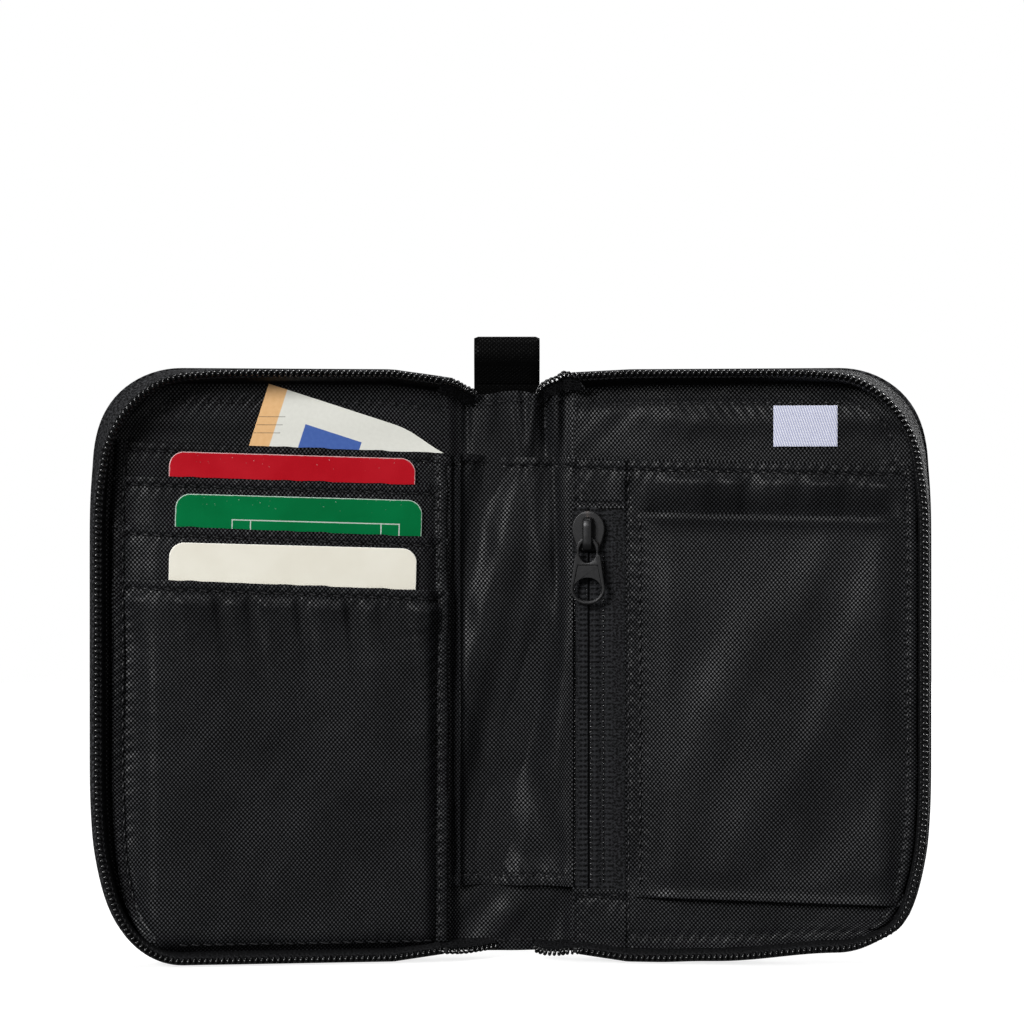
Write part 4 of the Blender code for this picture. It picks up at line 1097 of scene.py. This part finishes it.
def makeLoop():
    near, far = loopLook["depth"][1], loopLook["depth"][0]
    middle, half = (near + far) / 2, (near - far) / 2 - loopLook["thick"] / 2
    low, top = loopLook["foot"] + 0.1, loopLook["foot"] + loopLook["height"] - 0.65
    line = []
    for turn in np.linspace(0, 2 * math.pi, 90, endpoint=False):  # a drop in depth and height, pinched at its foot
        c, s = math.cos(turn), math.sin(turn)
        height = 0.5 + 0.5 * math.copysign(abs(s) ** 0.62, s)
        pinch = 0.28 + 0.72 * float(smoothStep(-0.1, 0.75, height))
        line.append((middle + half * pinch * math.copysign(abs(c) ** 0.75, c), low + (top - low) * height))
    line = np.array(line)
    run = lengthsOf(line)
    across = np.linspace(-loopLook["width"] / 2, loopLook["width"] / 2, 34)
    tangent = unit(np.roll(line, -1, 0) - np.roll(line, 1, 0))
    outward = np.stack([tangent[:, 1], -tangent[:, 0]], -1)
    rounding = 0.35 * (1 - smoothStep(0, 0.9, loopLook["width"] / 2 - np.abs(across)))
    rows, uv = [], []
    for sign in (1, -1):
        shell = line[:, None] + outward[:, None] * sign * (loopLook["thick"] / 2 - rounding)[None, :, None]
        x = np.broadcast_to(across, shell.shape[:2])
        rows.append(np.stack([loopLook["centre"] + x, faceY - shell[..., 0], shell[..., 1]], -1)[:, ::sign])
        uv.append(np.stack([x, np.broadcast_to(run[:, None], x.shape)], -1)[:, ::sign])
    rows, uv = np.concatenate(rows, 1), np.concatenate(uv, 1)
    count, total = rows.shape[:2]
    faces = []
    a = np.arange(total)
    b = (a + 1) % total
    for i in range(count):
        here, ahead = i * total, ((i + 1) % count) * total
        faces += np.stack([ahead + a, ahead + b, here + b, here + a], -1).tolist()
    piece = makePiece("hangingLoopWebbing", rows.reshape(-1, 3), faces, uv.reshape(-1, 2), webbingCloth)
    settled(piece, "webbing_loop", "webbing", "hanging_loop")
    level = np.linspace(*loopLook["sewn"], 26)
    x = loopLook["centre"] + across[None] + 0 * level[:, None]
    z = level[:, None] + 0 * x
    depth = 1.25 + 0.35 * smoothStep(124.0, 127.2, z)
    sewn = clothSheet("loopSewnEnd", np.stack([x, faceY - depth, z], -1), np.stack([x, z], -1), 0.5, webbingCloth, 1)
    settled(sewn, "spine", "webbing", "loop_sewn_end")
    cloth(loopLook["width"], 10.3)


makeLoop()


# sliders, pulls and the parked tail

# flat metal with rounded edges; placed turns (x, depth, z) into the frame
def plate(name, outlines, span, bevel, placed):
    curve = bpy.data.curves.new(name, "CURVE")
    curve.dimensions, curve.fill_mode = "2D", "BOTH"
    curve.extrude, curve.bevel_depth, curve.bevel_resolution = (span[1] - span[0]) / 2 - bevel, bevel, 3
    curve.offset = -bevel
    for outline in outlines:
        spline = curve.splines.new("POLY")
        spline.points.add(len(outline) - 1)
        spline.use_cyclic_u = True
        for point, (a, b) in zip(spline.points, outline):
            point.co = (a, b, 0, 1)
    holder = bpy.data.objects.new(name + "Curve", curve)
    bpy.context.scene.collection.objects.link(holder)
    bpy.context.view_layer.update()
    mesh = bpy.data.meshes.new_from_object(holder.evaluated_get(bpy.context.evaluated_depsgraph_get()))
    co = np.array([v.co for v in mesh.vertices])
    faces = [tuple(p.vertices) for p in mesh.polygons]
    bpy.data.objects.remove(holder)
    points = placed(co[:, 0], (span[0] + span[1]) / 2 + co[:, 2], co[:, 1])
    piece = makePiece(name, points, faces, co[:, :2], paintedZinc)
    piece.modifiers.new("weld", "WELD").merge_threshold = 0.00001
    piece.modifiers.new("flatFaces", "WEIGHTED_NORMAL")
    return piece


def rounded(points, times=2):  # rounds an outline by cutting its corners
    points = np.array(points, float)
    for _ in range(times):
        ahead = np.roll(points, -1, 0)
        points = np.stack([points * 0.75 + ahead * 0.25, points * 0.25 + ahead * 0.75], 1).reshape(-1, 2)
    return points


def arc(centre, radii, start, end, count):  # part of an ellipse; its ends are in half turns
    turn = np.linspace(math.pi * start, math.pi * end, count)
    return np.stack([centre[0] + radii[0] * np.cos(turn), centre[1] + radii[1] * np.sin(turn)], -1)


def circle(centre, radii, count):
    return arc(centre, radii, 0, 2, count + 1)[:-1]


sliderLooks = {
    "inner": {"width": 7.3, "length": 9.0, "pull": (4.0, 14.8), "ring": 2.5, "foot": 89.9, "back": 3.9},
    "main": {"width": 8.8, "length": 10.6, "pull": (4.6, 16.8), "ring": 2.9, "foot": 86.4, "back": 0.4},
}
# depth spans over a slider's back, and the half outline of its narrow end as shares of its half width and its length
sliderPlates = {"face": (3.2, 4.1), "back": (0.0, 0.8), "post": (0.7, 3.3), "pull": (4.4, 5.5), "web": (4.55, 5.28)}
sliderFlank = ((0.97, 0.42), (0.86, 0.26), (0.72, 0.12), (0.6, 0.03), (0.48, 0.0))
crownLook = {"half": (1.02, 0.34), "line": (  # depth and height of its middle line
    (4.0, 7.0), (4.9, 7.25), (5.9, 6.9), (6.25, 5.8), (6.25, 3.4), (6.2, 1.4), (5.8, 0.55), (4.9, 0.3), (4.0, 0.5))}


def makeSlider(name, placed):
    look = sliderLooks[name]
    half, length, (pullHalf, arm), ring = look["width"] / 2, look["length"], look["pull"], look["ring"]
    body, pullBody, node = name + "_slider", name + "_pull", name + "_slider"
    flank = np.array(sliderFlank) * (half, length)
    plan = np.concatenate([arc((0, length * 0.53), (half, length * 0.46), 0, 1, 25), flank * (-1, 1), flank[::-1]])
    post = rounded([(-0.7, length * 0.66), (0.7, length * 0.66), (0.9, length * 0.95), (-0.9, length * 0.95)])
    front = plate(name + "SliderFace", [plan], sliderPlates["face"], 0.28, placed)
    settled(front, body, "painted_zinc", node + "_body")
    settled(plate(name + "SliderBack", [plan], sliderPlates["back"], 0.22, placed), body, "painted_zinc")
    settled(plate(name + "SliderPost", [post], sliderPlates["post"], 0.1, placed), body, "painted_zinc")

    # crown: a round strap that arches over the pull's ring
    stops = np.array(crownLook["line"])
    line = eased(along(stops, np.linspace(0, lengthsOf(stops)[-1], 60)), 5)
    tangent = unit(np.gradient(line, axis=0))
    outward = np.stack([-tangent[:, 1], tangent[:, 0]], -1)
    turn = np.arange(14) / 14 * 2 * math.pi
    wide, thick = crownLook["half"]
    aside = np.sign(np.cos(turn)) * np.abs(np.cos(turn)) ** 0.7 * wide
    out = np.sign(np.sin(turn)) * np.abs(np.sin(turn)) ** 0.8 * thick
    flat = line[:, None] + outward[:, None] * out[None, :, None]
    points = placed(np.broadcast_to(aside, flat.shape[:2]), flat[..., 0], flat[..., 1]).reshape(-1, 3)
    crown = makePiece(name + "SliderCrown", points, tubeFaces(len(line), 14), np.zeros((len(points), 2)), paintedZinc)
    settled(crown, body, "painted_zinc", node + "_crown")

    # pull: an eye at the top, a sunk web, and a wide window in its round end
    bar, pivot = 0.5, (0, 2.6)
    end = arc((0, bar - arm + pullHalf * 0.96), (pullHalf * 0.98, pullHalf * 0.96), 1.04, 1.96, 30)
    shoulder, webTop, rimTop = -bar - arm * 0.22, -arm * 0.355, -arm * 0.385
    tab = [*arc((0, bar - ring), (ring, ring), -0.12, 1.12, 30), (-ring * 1.14, shoulder), *end, (ring * 1.14, shoulder)]
    window = circle((0, -arm * 0.185), (ring * 0.76, arm * 0.16), 40)
    gripAt, (gripX, gripZ) = bar - arm + pullHalf * 0.83, (pullHalf * 0.76, pullHalf * 0.64)
    sunk = [(ring * 0.86, rimTop), (-ring * 0.86, rimTop), *arc((0, gripAt), (gripX * 1.04, gripZ * 1.05), 0.9, 2.1, 30)]
    outlines = [np.array(outline) + pivot for outline in (tab, window, sunk)]
    pull = plate(name + "Pull", outlines, sliderPlates["pull"], 0.2, placed)
    settled(pull, pullBody, "painted_zinc", name + "_pull_tab")
    web = [(ring * 1.06, webTop), (-ring * 1.06, webTop), *(end * (0.93, 1) + (0, 0.25))]
    outlines = [np.array(outline) + pivot for outline in (web, circle((0, gripAt), (gripX, gripZ), 40))]
    settled(plate(name + "PullWeb", outlines, sliderPlates["web"], 0.12, placed), pullBody, "painted_zinc")


def innerPlace(x, d, z):
    return coverPoint(1, zipLook["centre"] + x, sliderLooks["inner"]["back"] + d, sliderLooks["inner"]["foot"] + z)


def mainPlace(x, d, z):
    return np.stack(np.broadcast_arrays(-x, faceY + sliderLooks["main"]["back"] + d, sliderLooks["main"]["foot"] + z), -1)


makeSlider("inner", innerPlace)
makeSlider("main", mainPlace)
metalNodes = {"inner_slider_lock_spring": springSteel, "main_slider_lock_spring": springSteel}
stopNodes = ("inner_top_stop_fold_side", "inner_top_stop_edge_side", "inner_bottom_stop", "tail_bottom_stop",
             "front_end_stop", "back_end_stop")
metalNodes.update(dict.fromkeys(stopNodes, paintedZinc))
for node, finish in metalNodes.items():
    frame["nodes"][node].data.materials.clear()
    frame["nodes"][node].data.materials.append(finish)

tailLook = {"across": (0.45, 9.95), "up": (84.4, 124.0), "tab": (10.6, 75.8, 85.2), "box": (9.0, 77.4, 83.4)}


def makeTail():
    level = np.linspace(*tailLook["up"], 60)
    near, width = tailLook["across"]
    for side, word in ((-1, "left"), (1, "right")):
        x = side * (near + np.linspace(0, 1, 22)[None] * width) + 0 * level[:, None]
        z = level[:, None] + 0 * x
        out = 1.75 + 0.5 * (1 - smoothStep(2.6, 3.6, np.abs(x))) - 0.6 * (1 - smoothStep(0.45, 0.9, np.abs(x)))
        out = faceY + out + 0.08 * softNoise(x, z, 66, 6.0)
        tape = clothSheet("tailTape" + word.title(), np.stack([x, out, z], -1), np.stack([x, z], -1), 0.4,
                          zipTapeCloth, -side)
        settled(tape, "spine", "zip_tape", "tail_tape_" + word)
        cloth(10.0, 39.6)
        path = np.stack([0 * level + side * 1.05, 0 * level + faceY + 2.75, level], -1)[2:-2]
        flatter = {**coilLook, "halfWidth": 0.75, "halfHeight": 0.35}
        coil = coilPiece("tailCoil" + word.title(), path, (0.0, 1.0, 0.0), flatter, nylonCoil)
        settled(coil, "spine", "zip_coil", "tail_coil_" + word)
        sew("tail", np.stack([0 * level + side * 9.2, 0 * level + faceY + 1.85, level], -1), (0, 1, 0))
    half, low, high = tailLook["tab"]
    x, z = np.meshgrid(np.linspace(-half, half, 40), np.linspace(low, high, 20), indexing="xy")
    inside = np.minimum(half - np.abs(x), np.minimum(z - low, high - z))
    out = faceY + 2.4 + 0.45 * smoothStep(0, 0.8, inside) - 0.2 * hump(inside, 1.6, 0.3)
    tab = clothSheet("tailEndTab", np.stack([x, out, z], -1), np.stack([x, z], -1), 1.3, outerCloth, -1)
    settled(tab, "spine", "outer_fabric", "tail_end_tab")
    cloth(2 * half, 10.0)
    half, low, high = tailLook["box"]
    box = np.array([(-half, low), (half, low), (half, high), (-half, high), (-half, low)])
    line = along(box, np.linspace(0, lengthsOf(box)[-1], 120))
    sew("tail", np.stack([line[:, 0], 0 * line[:, 0] + faceY + 2.72, line[:, 1]], -1), (0, 1, 0))


makeTail()
for group, body, slotName in (("front", "front_cover", "lining_fabric"), ("back", "back_cover", "lining_fabric"),
                              ("tail", "spine", "zip_tape")):
    settled(threadPiece(group, group + "Stitches", blackThread), body, slotName)
settled(threadPiece("backZip", "innerZipBeads", nylonCoil), "back_cover", "zip_coil")
print("zippers made")


# floor, light and camera

studio = {  # power, size and place of each lamp, then the camera
    "lamps": {"key": (28.5, 0.6, (-0.8, -1.3, 0.68)), "fill": (5.0, 1.4, (0.8, -1.6, 0.35)),
              "top": (6.5, 0.6, (0.1, -0.1, 1.3)), "rear": (26.0, 0.9, (0.9, 1.5, 0.7))},
    "aim": (0.0, 0.0, 0.07), "world": 0.09, "floorRadius": 1250.0, "domeRadius": 6000.0, "floorGlow": 0.8,
    "camera": (0.00033, -0.7493, 0.0985), "lens": 120,
}


def glowing(name, strength):
    r = Recipe(name)
    r.feed(r.shader.inputs["Emission Color"], (1.0, 1.0, 1.0))
    r.shader.inputs["Emission Strength"].default_value = strength
    return r


def makeStudio():
    r = glowing("floorPaper", studio["floorGlow"])
    mottle = r.noise(r.add("TexCoord", None, None, "Object"), 6.0, 2.0)
    r.done(r.tint(mottle, (0.38, 0.38, 0.38), (0.4, 0.4, 0.4)), 0.9, Specular_IOR_Level=0.1)
    rim = circle((0, 0), (studio["floorRadius"], studio["floorRadius"]), 64)
    floor = makePiece("studioFloor", np.column_stack([rim, rim[:, 0] * 0]), [tuple(range(64))], None, r.material)
    backdrop = glowing("backdropGlow", 1.0).done((0.0, 0.0, 0.0), 1.0, Specular_IOR_Level=0.0)
    turn, lift = np.meshgrid(np.linspace(0, 2 * math.pi, 49)[:-1], np.linspace(-1.5, 1.5, 25), indexing="xy")
    shell = np.stack([np.cos(turn) * np.cos(lift), np.sin(turn) * np.cos(lift), np.sin(lift)], -1) * studio["domeRadius"]
    faces = gridFaces(25, 48, 0, True, True) + [tuple(range(48)), tuple(range(24 * 48, 25 * 48))]
    dome = makePiece("backdropDome", shell.reshape(-1, 3), faces, None, backdrop)
    dome.visible_diffuse = dome.visible_glossy = dome.visible_transmission = dome.visible_shadow = False
    floor.visible_diffuse = floor.visible_glossy = False
    for name, (power, size, place) in studio["lamps"].items():
        lamp = bpy.data.lights.new(name, "AREA")
        lamp.energy, lamp.size = power, size
        holder = bpy.data.objects.new(name, lamp)
        holder.location = place
        aim = np.array(studio["aim"]) - np.array(place)
        holder.rotation_euler = (math.acos(-aim[2] / np.linalg.norm(aim)), 0, math.atan2(aim[1], aim[0]) - math.pi / 2)
        bpy.context.scene.collection.objects.link(holder)
    world = bpy.data.worlds.new("studio")
    bpy.context.scene.world = world
    world.use_nodes = True
    background = world.node_tree.nodes["Background"]
    background.inputs["Color"].default_value = (1, 1, 1, 1)
    background.inputs["Strength"].default_value = studio["world"]
    camera = bpy.data.objects.new("camera", bpy.data.cameras.new("camera"))
    camera.data.lens, camera.data.sensor_width = studio["lens"], 36
    camera.data.clip_start, camera.data.clip_end = 0.01, 50
    camera.location, camera.rotation_euler = studio["camera"], (math.pi / 2, 0, 0)
    bpy.context.scene.collection.objects.link(camera)
    bpy.context.scene.camera = camera
    bpy.context.scene.view_settings.view_transform = "Standard"


makeStudio()
print("studio made")
